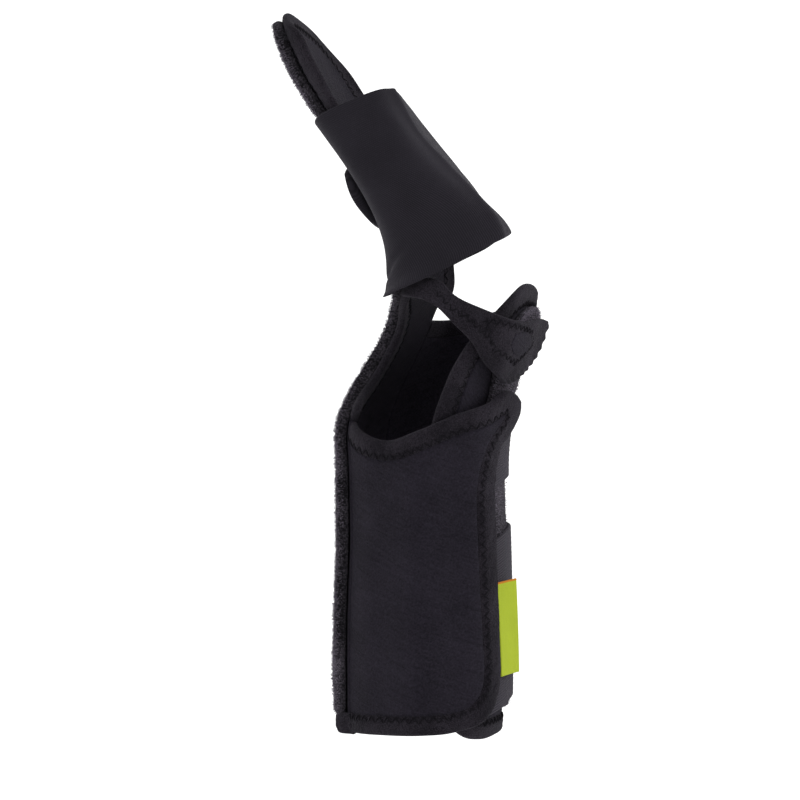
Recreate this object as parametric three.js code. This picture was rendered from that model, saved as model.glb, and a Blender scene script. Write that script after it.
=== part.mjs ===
// Multi finger splint: a right hand and forearm brace with a palmar finger tongue, in its worn form.
// Frame in mm: origin at the centre of the wrist hollow, +Z up the arm to the fingers, +X to the back of
// the hand, -X to the palm, -Y to the thumb side.
import * as THREE from "three";

// Lengths of the three straight runs that the brace follows, and how far the upper two lean
const FOREARM_RUN = 89;
const HAND_RUN = 84;
const FINGER_RUN = 115;
const HAND_TILT = 13.8;
const FINGER_TILT = -29.4;

// Hollow sizes at each run: palm to back, and side to side
const FOREARM_DEPTH = 49.5;
const FOREARM_BREADTH = 61;
const HAND_DEPTH = 47;
const HAND_BREADTH = 80;
const FINGER_DEPTH = 27;
const FINGER_BREADTH = 70;

// Thicknesses of the layers
const PANEL_WALL = 3.0;
const BINDING_WALL = 2.8;
const POCKET_WALL = 4.3;
const PILE_WALL = 1.8;
const STRAP_WALL = 1.2;
const HAND_STRAP_WALL = 2.5;
const HOOK_WALL = 1.0;
const FLAP_WALL = 2.8;
const SLEEVE_WALL = 1.4;
const TAB_WALL = 2.2;
const LABEL_WALL = 0.8;
const HEM_WALL = 3.0;

// Clearances between stacked layers, between panels sewn edge to edge, and at the hand strap's root
const LAYER_GAP = 0.5;
const SEAM_GAP = 0.4;
const ROOT_GAP = 0.7;

// Widths and lengths of the narrow pieces
const BINDING_WIDTH = 6.8;
const HEM_WIDTH = 6.6;
const WRIST_STRAP_WIDTH = 18.7;
const FOREARM_STRAP_WIDTH = 62.5;
const LABEL_LENGTH = 34;
const LABEL_WIDTH = 9.5;
const LABEL_FLARE = 1.6;
const FLAP_TIP_FLARE = 1.8;
const HAND_STRAP_CURL = 1.4;
const TAB_LENGTH = 26.5;
const TAB_WIDTH = 44;
const TAB_BULGE = 2.0;

// Play between the sleeve and the pocket under it, beyond the gap between layers, and how much the
// sleeve squeezes the pocket there, as a share of its wall
const SLEEVE_EASE = 0.2;
const SLEEVE_SQUEEZE = 0.20;

// The sleeve's rims: how far the lower one sags on the thumb side, and how much higher the upper one
// runs there, as shares of the sleeve's length
const SLEEVE_SAG = 0.165;
const SLEEVE_SLANT = 0.04;

const radians = THREE.MathUtils.degToRad;
const lerp = THREE.MathUtils.lerp;
const smooth = (value, [from, to]) => THREE.MathUtils.smoothstep(value, from, to);

// Rows of a table given as named columns, so that each row reads as an object
function table(columns, rows) {
  return rows.map((row) => Object.fromEntries(columns.map((name, index) => [name, row[index]])));
}

const TOTAL_RUN = FOREARM_RUN + HAND_RUN + FINGER_RUN;
const RUNS = {
  forearm: { x: 0, z: -FOREARM_RUN, tilt: 0, length: FOREARM_RUN, start: 0,
    depth: FOREARM_DEPTH, breadth: FOREARM_BREADTH },
  hand: { x: 0, z: 0, tilt: radians(HAND_TILT), length: HAND_RUN, start: FOREARM_RUN,
    depth: HAND_DEPTH, breadth: HAND_BREADTH },
  fingers: { x: HAND_RUN * Math.sin(radians(HAND_TILT)), z: HAND_RUN * Math.cos(radians(HAND_TILT)),
    tilt: radians(FINGER_TILT), length: FINGER_RUN, start: FOREARM_RUN + HAND_RUN,
    depth: FINGER_DEPTH, breadth: FINGER_BREADTH },
};

// Cross-sections of the hollow. at: share of the run's length; shift, depth: shares of its depth;
// breadth: share of its breadth; lean: degrees that the section rises to the back of the hand;
// power: squareness of the outline; fall: share of the depth lost on the little finger's side
const SECTIONS = table(["run", "at", "shift", "depth", "breadth", "lean", "power", "fall"], [
  ["forearm", 0.00, 0.023, 1.00, 1.016, 0.0, 2.3, 0.00],
  ["forearm", 0.42, 0.019, 1.02, 1.000, 0.0, 2.3, 0.00],
  ["forearm", 0.83, 0.023, 0.98, 0.967, 0.0, 2.35, 0.00],
  ["hand", 0.14, -0.048, 1.01, 0.750, 0.0, 2.4, 0.00],
  ["hand", 0.31, -0.110, 1.02, 0.812, 1.0, 2.5, 0.00],
  ["hand", 0.49, -0.098, 1.00, 0.912, 4.5, 2.6, 0.02],
  ["hand", 0.71, -0.033, 0.95, 0.988, 7.5, 2.7, 0.05],
  ["hand", 0.89, 0.007, 0.93, 1.012, 11.0, 2.8, 0.08],
  ["hand", 1.00, 0.000, 0.93, 0.988, 18.3, 2.9, 0.12],
  ["fingers", 0.09, 0.000, 1.21, 1.057, 28.5, 3.2, 0.16],
  ["fingers", 0.22, 0.120, 1.00, 1.023, 28.5, 3.3, 0.18],
  ["fingers", 0.41, 0.070, 0.77, 0.986, 27.0, 3.4, 0.18],
  ["fingers", 0.66, -0.110, 0.60, 0.929, 27.0, 3.6, 0.18],
  ["fingers", 0.84, -0.160, 0.59, 0.886, 26.0, 3.6, 0.18],
  ["fingers", 1.00, -0.090, 0.60, 0.829, 24.0, 3.6, 0.18],
]).map(placeSection);

// A section as numbers that are smooth along the brace: its palm and back points and its shape
function placeSection(row) {
  const run = RUNS[row.run];
  const reach = run.length * row.at;
  const shift = run.depth * row.shift;
  const lean = radians(row.lean);
  const half = (run.depth * row.depth) / 2;
  const x = run.x + Math.sin(run.tilt) * reach + Math.cos(run.tilt) * shift;
  const z = run.z + Math.cos(run.tilt) * reach - Math.sin(run.tilt) * shift;
  return {
    along: (run.start + reach) / TOTAL_RUN,
    shape: [
      x - half * Math.cos(lean), z - half * Math.sin(lean),
      x + half * Math.cos(lean), z + half * Math.sin(lean),
      (run.breadth * row.breadth) / 2, row.power, row.fall, 2,
    ],
  };
}

// Cubic blend through rows of numbers whose stations are not evenly spaced
function blendRows(rows, station, key, at) {
  const last = rows.length - 1;
  let index = 0;
  while (index < last - 1 && at >= rows[index + 1][station]) {
    index += 1;
  }
  const slope = (k, column) => {
    const before = rows[Math.max(k - 1, 0)];
    const after = rows[Math.min(k + 1, last)];
    return (after[key][column] - before[key][column]) / (after[station] - before[station]);
  };
  const low = rows[index];
  const high = rows[index + 1];
  const width = high[station] - low[station];
  const t = (at - low[station]) / width;
  return low[key].map((value, column) => {
    const rise = slope(index, column) * width;
    const leave = slope(index + 1, column) * width;
    return (2 * t ** 3 - 3 * t ** 2 + 1) * value + (t ** 3 - 2 * t ** 2 + t) * rise
      + (3 * t ** 2 - 2 * t ** 3) * high[key][column] + (t ** 3 - t ** 2) * leave;
  });
}

const RING_STEPS = 96;

// One closed cross-section from the palm round the thumb side, with its arc-length shares
function makeRing([palmX, palmZ, backX, backZ, half, power, fall, fallPower]) {
  const points = [];
  const lengths = [0];
  for (let step = 0; step <= RING_STEPS; step += 1) {
    const angle = (2 * Math.PI * step) / RING_STEPS;
    const cosine = Math.sign(Math.cos(angle)) * Math.abs(Math.cos(angle)) ** (2 / power);
    const sine = Math.sign(Math.sin(angle)) * Math.abs(Math.sin(angle)) ** (2 / power);
    const back = (1 - cosine) / 2;
    const depth = back - fall * back * ((1 - sine) / 2) ** fallPower;
    points.push(new THREE.Vector3(lerp(palmX, backX, depth), -half * sine, lerp(palmZ, backZ, depth)));
    if (step > 0) {
      lengths.push(lengths[step - 1] + points[step].distanceTo(points[step - 1]));
    }
  }
  return { points, lengths, girth: lengths[RING_STEPS] };
}

function ringPoint(ring, around) {
  const target = (around - Math.floor(around)) * ring.girth;
  let step = 1;
  while (step < RING_STEPS && ring.lengths[step] < target) {
    step += 1;
  }
  const share = (target - ring.lengths[step - 1]) / (ring.lengths[step] - ring.lengths[step - 1]);
  return ring.points[step - 1].clone().lerp(ring.points[step], share);
}

// A surface made of rings: around is a share of the girth (0 palm, 0.25 thumb side, 0.5 back,
// 0.75 little finger's side), along is a share of the surface's length
function ringSurface(rows) {
  const rings = new Map();
  const ringAt = (along) => {
    const key = along.toFixed(6);
    if (!rings.has(key)) {
      rings.set(key, makeRing(blendRows(rows, "along", "shape", along)));
    }
    return rings.get(key);
  };
  return {
    point: (around, along) => ringPoint(ringAt(along), around),
    girth: (along) => ringAt(along).girth,
  };
}

const NORMAL_STEP = 0.004;

// The point that stands lift mm off a surface
function lifted(surface, around, along, lift) {
  const turn = surface.point(around + NORMAL_STEP, along)
    .sub(surface.point(around - NORMAL_STEP, along));
  const rise = surface.point(around, along + NORMAL_STEP)
    .sub(surface.point(around, along - NORMAL_STEP));
  return surface.point(around, along).addScaledVector(turn.cross(rise).normalize(), lift);
}

// The skin is the hollow's own surface: a wrist and hand fill it up to here
const skin = ringSurface(SECTIONS);

// A smooth edge through rows of around and along, drawn on the cloth laid flat in mm
const FLAT_GIRTH = Math.PI * (FOREARM_DEPTH + FOREARM_BREADTH) / 2;

function flatCurve(rows) {
  const points = rows.map((row) => new THREE.Vector3(row.around * FLAT_GIRTH, row.along * TOTAL_RUN, 0));
  return new THREE.CatmullRomCurve3(points, false, "centripetal");
}

const onCloth = (point) => ({ around: point.x / FLAT_GIRTH, along: point.y / TOTAL_RUN });

function edge(rows) {
  const curve = flatCurve(rows);
  return (t) => onCloth(curve.getPointAt(t));
}

const straight = (start, end) => (t) => ({
  around: lerp(start.around, end.around, t),
  along: lerp(start.along, end.along, t),
});

// A point moved off a line on the cloth: travel is the line's direction there, out and on are mm to
// its side and forward; side is 1 for the left of its travel, -1 for the right
function beside(here, travel, out, on, side) {
  const girth = skin.girth(here.along);
  const flat = new THREE.Vector2(travel.around * girth, travel.along * TOTAL_RUN).normalize();
  return {
    around: here.around + (on * flat.x - side * out * flat.y) / girth,
    along: here.along + (on * flat.y + side * out * flat.x) / TOTAL_RUN,
  };
}

// Fills the space between four edges; low and high run across, near and far run up
function fillEdges({ low, high, near, far }) {
  return (u, v) => {
    const blend = (key) => {
      const sides = lerp(near(v)[key], far(v)[key], u) + lerp(low(u)[key], high(u)[key], v);
      const corners = lerp(lerp(low(0)[key], low(1)[key], u), lerp(high(0)[key], high(1)[key], u), v);
      return sides - corners;
    };
    return { around: blend("around"), along: blend("along") };
  };
}

// A closed sheet of cloth or foam on a surface: its inner and outer faces stand off the surface by
// inner and outer mm, which are functions of around and along, and rims join them
function sheetGeometry({ surface = skin, place, across, up, inner, outer, closed = false }) {
  const columns = closed ? across : across + 1;
  const positions = [];
  const cell = [];
  for (const lift of [inner, outer]) {
    for (let row = 0; row <= up; row += 1) {
      for (let column = 0; column < columns; column += 1) {
        const { around, along } = place(column / across, row / up);
        const point = lifted(surface, around, along, lift(around, along, column / across, row / up));
        positions.push(point.x, point.y, point.z);
      }
    }
  }
  const layer = columns * (up + 1);
  const index = (level, row, column) => level * layer + row * columns + (column % columns);
  const quad = (a, b, c, d) => cell.push(a, b, c, a, c, d);
  for (let row = 0; row < up; row += 1) {
    for (let column = 0; column < across; column += 1) {
      quad(index(1, row, column), index(1, row, column + 1),
        index(1, row + 1, column + 1), index(1, row + 1, column));
      quad(index(0, row, column), index(0, row + 1, column),
        index(0, row + 1, column + 1), index(0, row, column + 1));
    }
  }
  for (let column = 0; column < across; column += 1) {
    quad(index(0, 0, column), index(0, 0, column + 1), index(1, 0, column + 1), index(1, 0, column));
    quad(index(0, up, column + 1), index(0, up, column), index(1, up, column), index(1, up, column + 1));
  }
  if (!closed) {
    for (let row = 0; row < up; row += 1) {
      quad(index(0, row + 1, 0), index(0, row, 0), index(1, row, 0), index(1, row + 1, 0));
      quad(index(0, row, across), index(0, row + 1, across),
        index(1, row + 1, across), index(1, row, across));
    }
  }
  if (turnsOver(place)) {
    for (let corner = 0; corner < cell.length; corner += 3) {
      [cell[corner + 1], cell[corner + 2]] = [cell[corner + 2], cell[corner + 1]];
    }
  }
  const geometry = new THREE.BufferGeometry();
  geometry.setAttribute("position", new THREE.Float32BufferAttribute(positions, 3));
  geometry.setIndex(cell);
  geometry.computeVertexNormals();
  return geometry;
}

// True where a place function runs the other way round than around and along do
function turnsOver(place) {
  const corner = place(0.3, 0.3);
  const right = place(0.7, 0.3);
  const above = place(0.3, 0.7);
  return (right.around - corner.around) * (above.along - corner.along)
    - (right.along - corner.along) * (above.around - corner.around) < 0;
}

const TRAVEL_STEP = 0.002;
const STOP_TOLERANCE = 1e-9;

// A panel's free edge, and the outer edge of the binding round it. The rows' reach and skew say how far
// the binding goes out and on from each row, in binding widths. corners: the two rows where the panel
// turns; steps: how many facets its three stretches take; side: 1 where the binding lies to the left
function freeEdge(rows, corners, steps, side) {
  const last = rows.length - 1;
  const travelAt = (index) => {
    const before = rows[Math.max(index - 1, 0)];
    const after = rows[Math.min(index + 1, last)];
    return { around: after.around - before.around, along: after.along - before.along };
  };
  const outerRows = rows.map((row, index) => beside(row, travelAt(index),
    BINDING_WIDTH * row.reach, BINDING_WIDTH * row.skew, side));
  const inner = flatCurve(rows);
  const outer = flatCurve(outerRows);
  const travel = (curve, t) => {
    const before = onCloth(curve.getPoint(Math.max(t - TRAVEL_STEP, 0)));
    const after = onCloth(curve.getPoint(Math.min(t + TRAVEL_STEP, 1)));
    return { around: after.around - before.around, along: after.along - before.along };
  };
  const stretches = [[0, corners[0]], [corners[0], corners[1]], [corners[1], last]];
  const stops = [0];
  stretches.forEach(([from, to], index) => {
    const part = flatCurve(rows.slice(from, to + 1));
    for (let step = 1; step <= steps[index]; step += 1) {
      stops.push((from + part.getUtoTmapping(step / steps[index]) * (to - from)) / last);
    }
  });
  const panel = (t) => onCloth(inner.getPoint(t));
  const stretch = (index) => {
    const start = steps.slice(0, index).reduce((sum, count) => sum + count, 0);
    return (share) => panel(stops[start + Math.round(share * steps[index])]);
  };
  return {
    first: stretch(0),
    second: stretch(1),
    third: stretch(2),
    steps,
    count: stops.length - 1,
    stopAt: (rowNumber) => stops.findIndex((stop) => stop >= rowNumber / last - STOP_TOLERANCE),
    seam: (stop) => beside(panel(stops[stop]), travel(inner, stops[stop]), SEAM_GAP, 0, side),
    rim: (stop) => onCloth(outer.getPoint(stops[stop])),
    beyondRim: (rowNumber) => {
      const t = rowNumber / last;
      return beside(onCloth(outer.getPoint(t)), travel(outer, t), ROOT_GAP, 0, side);
    },
  };
}

// The strip that finishes a free edge from one stop to another
function bindingPlace(free, from, to) {
  return (u, v) => {
    const stop = Math.round(lerp(from, to, u));
    const seam = free.seam(stop);
    const rim = free.rim(stop);
    return { around: lerp(seam.around, rim.around, v), along: lerp(seam.along, rim.along, v) };
  };
}

// Heights of the layers off the skin
const PANEL_TOP = PANEL_WALL;
const OVER_PANEL = PANEL_TOP + LAYER_GAP;
const PILE_TOP = OVER_PANEL + PILE_WALL;
const OVER_PILE = PILE_TOP + LAYER_GAP;
const STRAP_TOP = OVER_PILE + STRAP_WALL;
const OVER_STRAP = STRAP_TOP + LAYER_GAP;
const HOOK_TOP = OVER_PILE + HOOK_WALL;
const OVER_HOOK = HOOK_TOP + LAYER_GAP;
const POCKET_TOP = OVER_PANEL + POCKET_WALL;

// Seams, as shares of the girth: the palmar panel lies between the thumb seam and the outer seam, and
// its lower end is a share of the brace's length
const THUMB_SEAM = 0.100;
const OUTER_SEAM = -0.122;
const LOWER_END = 0.012;

// The palmar panel's edge from the lower thumb-side corner, round the thumb opening and the tongue's
// tip, to the lower corner on the little finger's side
const PALMAR_EDGE = table(["around", "along", "reach", "skew"], [
  [THUMB_SEAM, LOWER_END, 1, 0], [THUMB_SEAM, 0.16, 1, 0], [THUMB_SEAM, 0.30, 1, 0],
  [THUMB_SEAM, 0.385, 1, 0],
  [0.088, 0.412, 1, 0], [0.040, 0.434, 1, 0], [0.000, 0.462, 1, 0], [-0.012, 0.500, 1, 0],
  [-0.008, 0.540, 1, 0], [0.030, 0.575, 1, 0], [0.095, 0.600, 1, 0], [0.146, 0.628, 1, 0],
  [0.164, 0.665, 1, 0], [0.168, 0.750, 1, 0], [0.176, 0.850, 1, 0], [0.186, 0.925, 1, 0],
  [0.180, 0.965, 1, 0], [0.118, 0.986, 1, 0], [0.000, 0.983, 1, 0], [-0.115, 0.967, 1, 0],
  [-0.170, 0.942, 1, 0], [-0.180, 0.890, 1, 0], [-0.172, 0.800, 1, 0], [-0.166, 0.700, 1, 0],
  [-0.156, 0.640, 1, 0], [-0.134, 0.605, 1, 0], [OUTER_SEAM, 0.575, 1, 0], [OUTER_SEAM, 0.440, 1, 0],
  [OUTER_SEAM, 0.300, 1, 0], [OUTER_SEAM, 0.150, 1, 0], [OUTER_SEAM, LOWER_END, 1, 0],
]);
const PALMAR_CORNERS = [16, 20];

// The radial flap's panel: its upper edge, the tip over the back of the hand, its back edge and hem
const FLAP_EDGE = table(["around", "along", "reach", "skew"], [
  [0.104, 0.386, 0.92, -0.38], [0.140, 0.375, 1, 0], [0.180, 0.366, 1, 0], [0.215, 0.363, 1, 0],
  [0.250, 0.367, 1, 0], [0.297, 0.382, 1, 0], [0.335, 0.397, 1, 0], [0.375, 0.411, 1, 0],
  [0.404, 0.420, 1.10, 0], [0.418, 0.4245, 1.25, -0.2], [0.4225, 0.4210, 1.50, -0.4],
  [0.4215, 0.4150, 1.55, -0.2], [0.413, 0.4070, 1.35, 0], [0.402, 0.397, 1.1, 0], [0.391, 0.384, 1, 0],
  [0.381, 0.362, 1, 0], [0.373, 0.330, 1, 0], [0.371, 0.290, 1, 0], [0.374, 0.210, 1, 0],
  [0.379, 0.135, 1, 0], [0.381, 0.092, 1, 0], [0.374, 0.068, 1, 0], [0.355, 0.050, 1, 0],
  [0.325, 0.042, 1, 0], [0.280, 0.039, 1, 0], [0.190, 0.038, 1, 0], [0.104, 0.038, 1, 0],
]);
const FLAP_CORNERS = [10, 22];

// The outer wing's panel: across the back of the hand, down the thumb opening and under the flap
const WING_EDGE = table(["around", "along", "reach", "skew"], [
  [0.875, 0.535, 1, 0], [0.800, 0.533, 1, 0], [0.700, 0.540, 1, 0], [0.600, 0.550, 1, 0],
  [0.500, 0.555, 1, 0], [0.440, 0.552, 1, 0], [0.402, 0.541, 1, 0], [0.373, 0.525, 1, 0],
  [0.350, 0.503, 1, 0], [0.341, 0.480, 1, 0], [0.338, 0.450, 1, 0], [0.336, 0.420, 1, 0],
  [0.335, 0.385, 1, 0], [0.338, 0.300, 1, 0], [0.342, 0.160, 1, 0], [0.347, 0.075, 1, 0],
  [0.358, 0.046, 1, 0], [0.380, 0.034, 1, 0], [0.410, 0.031, 1, 0], [0.500, 0.034, 1, 0],
  [0.650, 0.036, 1, 0], [0.760, 0.036, 1, 0], [0.875, 0.036, 1, 0],
]);
const WING_CORNERS = [7, 16];

const palmarFree = freeEdge(PALMAR_EDGE, PALMAR_CORNERS, [36, 8, 36], -1);
const flapFree = freeEdge(FLAP_EDGE, FLAP_CORNERS, [12, 20, 12], 1);
const wingFree = freeEdge(WING_EDGE, WING_CORNERS, [16, 18, 16], -1);

const flat = (height) => () => height;

// Where each loose piece climbs from one layer to the next, from and to, as shares of the girth; the
// flap's tip also starts to flare at a share of the brace's length
const FLAP_CLIMB = { wing: [0.19, 0.285], straps: [0.325, 0.385], tip: [0.40, 0.48], tipUp: [0.39, 0.43] };
const STRAP_DESCENT = [0.70, 0.76];
const HAND_STRAP_CLIMB = { wing: [0.215, 0.290], hook: [0.315, 0.375], curl: [0.47, 0.55] };
const ON_WING = OVER_PANEL + LAYER_GAP;

// The flap lies on the skin at its seam, climbs over the wing and then over the straps
function flapInner(around, along) {
  const climb = ON_WING * smooth(around, FLAP_CLIMB.wing)
    + (OVER_STRAP - ON_WING) * smooth(around, FLAP_CLIMB.straps);
  const tip = smooth(around, FLAP_CLIMB.tip) * smooth(along, FLAP_CLIMB.tipUp);
  return climb + FLAP_TIP_FLARE * tip;
}

// The straps lie on the pile over the back and come down onto the wing at the outer seam
const strapInner = (around) => lerp(OVER_PILE, OVER_PANEL, smooth(around, STRAP_DESCENT));

// The hand strap starts on the skin beside the thumb, climbs over the wing and then over its hook
function handStrapInner(around) {
  return ON_WING * smooth(around, HAND_STRAP_CLIMB.wing)
    + (OVER_HOOK - ON_WING) * smooth(around, HAND_STRAP_CLIMB.hook)
    + HAND_STRAP_CURL * smooth(around, HAND_STRAP_CLIMB.curl);
}

function palmarPanel() {
  return sheetGeometry({
    place: fillEdges({
      low: straight(PALMAR_EDGE.at(-1), PALMAR_EDGE[0]),
      high: (u) => palmarFree.second(1 - u),
      near: (v) => palmarFree.third(1 - v),
      far: palmarFree.first,
    }),
    across: palmarFree.steps[1],
    up: palmarFree.steps[0],
    inner: flat(0),
    outer: flat(PANEL_TOP),
  });
}

const TONGUE_BINDING_ROWS = { from: 5.2, to: 25.6 };

// The tongue's binding starts in the thumb opening and ends above the outer wing
function tongueBinding() {
  const from = palmarFree.stopAt(TONGUE_BINDING_ROWS.from);
  const to = palmarFree.stopAt(TONGUE_BINDING_ROWS.to);
  return sheetGeometry({
    place: bindingPlace(palmarFree, from, to),
    across: to - from,
    up: 1,
    inner: flat(0),
    outer: flat(BINDING_WALL),
  });
}

// Pocket for the stay: narrow on the forearm and in the palm, wide behind the fingers
const POCKET = {
  thumb: table(["around", "along"], [
    [0.082, 0.044], [0.092, 0.080], [0.092, 0.200], [0.092, 0.350], [0.080, 0.405], [0.040, 0.440],
    [0.012, 0.480], [0.006, 0.530], [0.040, 0.570], [0.105, 0.610], [0.150, 0.650], [0.168, 0.700],
    [0.176, 0.800], [0.186, 0.900], [0.190, 0.960],
  ]),
  top: table(["around", "along"], [
    [-0.170, 0.920], [-0.140, 0.955], [-0.080, 0.974], [0.020, 0.988], [0.110, 0.995], [0.165, 0.986],
    [0.190, 0.960],
  ]),
  outer: table(["around", "along"], [
    [-0.100, 0.044], [-0.110, 0.080], [-0.112, 0.200], [-0.112, 0.350], [-0.112, 0.480],
    [-0.114, 0.560], [-0.130, 0.620], [-0.150, 0.680], [-0.165, 0.780], [-0.172, 0.880],
    [-0.170, 0.920],
  ]),
};

// How far the sleeve squeezes the pocket, from 0 outside it to 1 under it
const SLEEVE_COVER = { starts: [0.59, 0.66], ends: [0.83, 0.89] };
const underSleeve = (along) => smooth(along, SLEEVE_COVER.starts) * (1 - smooth(along, SLEEVE_COVER.ends));
const pocketWall = (along) => POCKET_WALL * (1 - SLEEVE_SQUEEZE * underSleeve(along));

// The pocket's wall at its edges, as shares of its full wall, and how steeply it fills out from there
const POCKET_EDGE = { free: 0.90, squeezed: 0.64, sidePower: 0.35, endPower: 0.12 };

function palmarPocket() {
  const outer = (around, along, u, v) => {
    const side = Math.max(Math.sin(Math.PI * u), 0) ** POCKET_EDGE.sidePower;
    const end = Math.max(Math.sin(Math.PI * v), 0) ** POCKET_EDGE.endPower;
    const atEdge = lerp(POCKET_EDGE.free, POCKET_EDGE.squeezed, underSleeve(along));
    return OVER_PANEL + pocketWall(along) * lerp(atEdge, 1, side * end);
  };
  return sheetGeometry({
    place: fillEdges({
      low: straight(POCKET.outer[0], POCKET.thumb[0]),
      high: edge(POCKET.top),
      near: edge(POCKET.outer),
      far: edge(POCKET.thumb),
    }),
    across: 8,
    up: 34,
    inner: flat(OVER_PANEL),
    outer,
  });
}

// The hem rolls over the pocket's lower end, level with the flap's own binding. thin: its wall at its
// edges, as a share of its full wall
const HEM = { outerEnd: -0.118, thumbEnd: 0.096, low: 0.0145, thin: 0.7 };

function palmarHem() {
  const high = HEM.low + HEM_WIDTH / TOTAL_RUN;
  return sheetGeometry({
    place: (u, v) => ({ around: lerp(HEM.outerEnd, HEM.thumbEnd, u), along: lerp(HEM.low, high, v) }),
    across: 7,
    up: 2,
    inner: flat(OVER_PANEL),
    outer: (around, along, u, v) => OVER_PANEL + HEM_WALL * lerp(HEM.thin, 1, Math.sin(Math.PI * v)),
  });
}

function radialFlap() {
  return sheetGeometry({
    place: fillEdges({
      low: (u) => flapFree.third(1 - u),
      high: flapFree.first,
      near: straight(FLAP_EDGE.at(-1), FLAP_EDGE[0]),
      far: (v) => flapFree.second(1 - v),
    }),
    across: flapFree.steps[0],
    up: flapFree.steps[1],
    inner: flapInner,
    outer: (around, along) => flapInner(around, along) + FLAP_WALL,
  });
}

function radialFlapBinding() {
  const { count } = flapFree;
  return sheetGeometry({
    place: bindingPlace(flapFree, 0, count),
    across: count,
    up: 2,
    inner: flapInner,
    outer: (around, along) => flapInner(around, along) + FLAP_WALL,
  });
}

function outerWing() {
  return sheetGeometry({
    place: fillEdges({
      low: wingFree.third,
      high: (u) => wingFree.first(1 - u),
      near: (v) => wingFree.second(1 - v),
      far: straight(WING_EDGE.at(-1), WING_EDGE[0]),
    }),
    across: wingFree.steps[0],
    up: wingFree.steps[1],
    inner: flat(0),
    outer: flat(PANEL_TOP),
  });
}

function outerWingBinding() {
  const { count } = wingFree;
  return sheetGeometry({
    place: bindingPlace(wingFree, 0, count),
    across: count,
    up: 1,
    inner: flat(0),
    outer: flat(BINDING_WALL),
  });
}

// Loop pile on the back, which the straps hold on: from under the flap to the tab behind the knuckles
const PILE = {
  thumb: table(["around", "along"], [
    [0.402, 0.045], [0.396, 0.120], [0.394, 0.300], [0.402, 0.430], [0.394, 0.461], [0.386, 0.481],
    [0.381, 0.500], [0.388, 0.520], [0.410, 0.538],
  ]),
  outer: table(["around", "along"], [
    [0.680, 0.045], [0.690, 0.200], [0.690, 0.400], [0.680, 0.500], [0.640, 0.538],
  ]),
  top: table(["around", "along"], [
    [0.410, 0.538], [0.440, 0.550], [0.500, 0.556], [0.580, 0.550], [0.640, 0.538],
  ]),
};

function dorsalPile() {
  return sheetGeometry({
    place: fillEdges({
      low: straight(PILE.thumb[0], PILE.outer[0]),
      high: edge(PILE.top),
      near: edge(PILE.thumb),
      far: edge(PILE.outer),
    }),
    across: 9,
    up: 20,
    inner: flat(OVER_PANEL),
    outer: flat(PILE_TOP),
  });
}

// Centre lines of the two elastic straps: from under the flap round the back to the outer seam
const STRAP_RISE = table(["around", "rise"], [[0.405, 0], [0.460, 0.010], [0.520, 0.018], [0.640, 0.026],
  [0.760, 0.030], [0.868, 0.030]]);
const WRIST_STRAP_CENTRE = 0.350;
const FOREARM_STRAP_CENTRE = 0.1465;

function strapPlace(centre, width) {
  const rows = STRAP_RISE.map((row) => ({ around: row.around, along: centre + row.rise }));
  const line = edge(rows);
  return (u, v) => {
    const { around, along } = line(u);
    return { around, along: along + ((v - 0.5) * width) / TOTAL_RUN };
  };
}

function elasticStrap(centre, width, up) {
  return sheetGeometry({
    place: strapPlace(centre, width),
    across: 16,
    up,
    inner: strapInner,
    outer: (around) => strapInner(around) + STRAP_WALL,
  });
}

// The hand strap leaves the palm's edge beside the thumb and flares to a tab on the back of the hand
const HAND_STRAP = {
  rootRows: [10.2, 11.2],
  high: table(["around", "along"], [
    [0.232, 0.599], [0.257, 0.580], [0.294, 0.562], [0.349, 0.546], [0.416, 0.541], [0.480, 0.545],
    [0.532, 0.544],
  ]),
  low: table(["around", "along"], [
    [0.195, 0.581], [0.228, 0.569], [0.260, 0.551], [0.285, 0.534], [0.314, 0.513], [0.345, 0.487],
    [0.392, 0.463],
  ]),
  end: table(["around", "along"], [
    [0.392, 0.463], [0.430, 0.464], [0.490, 0.482], [0.525, 0.505], [0.537, 0.528], [0.532, 0.544],
  ]),
};

function handStrap() {
  const [lowRow, highRow] = HAND_STRAP.rootRows;
  const root = (v) => palmarFree.beyondRim(lerp(lowRow, highRow, v));
  return sheetGeometry({
    place: fillEdges({
      low: edge([root(0), ...HAND_STRAP.low]),
      high: edge([root(1), ...HAND_STRAP.high]),
      near: root,
      far: edge(HAND_STRAP.end),
    }),
    across: 20,
    up: 6,
    inner: handStrapInner,
    outer: (around) => handStrapInner(around) + HAND_STRAP_WALL,
  });
}

// Hook tape sewn under the tab, showing beyond its end
const HOOK = {
  low: table(["around", "along"], [[0.412, 0.468], [0.470, 0.472], [0.530, 0.488]]),
  high: table(["around", "along"], [[0.412, 0.532], [0.480, 0.536], [0.548, 0.532]]),
  end: table(["around", "along"], [[0.530, 0.488], [0.556, 0.510], [0.548, 0.532]]),
};

function handStrapHook() {
  return sheetGeometry({
    place: fillEdges({
      low: edge(HOOK.low),
      high: edge(HOOK.high),
      near: straight(HOOK.low[0], HOOK.high[0]),
      far: edge(HOOK.end),
    }),
    across: 6,
    up: 4,
    inner: flat(OVER_PILE),
    outer: flat(HOOK_TOP),
  });
}

// Rings of the finger sleeve. share: place along the sleeve; palm: where its palm side sits along the
// brace; depth, half: shares of the fingers' depth and half breadth; lean, power and fall as above
const SLEEVE_ROWS = table(["share", "palm", "depth", "half", "lean", "power", "fall"], [
  [-0.15, 0.565, 2.05, 1.26, 24.0, 2.9, 0.50],
  [0.00, 0.600, 1.88, 1.21, 25.8, 3.0, 0.50],
  [0.25, 0.672, 1.27, 1.11, 24.5, 3.8, 0.33],
  [0.50, 0.736, 0.94, 1.057, 23.0, 4.2, 0.21],
  [0.75, 0.799, 0.80, 1.029, 20.5, 4.4, 0.18],
  [1.00, 0.860, 0.90, 1.006, 22.0, 4.4, 0.30],
]);

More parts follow.
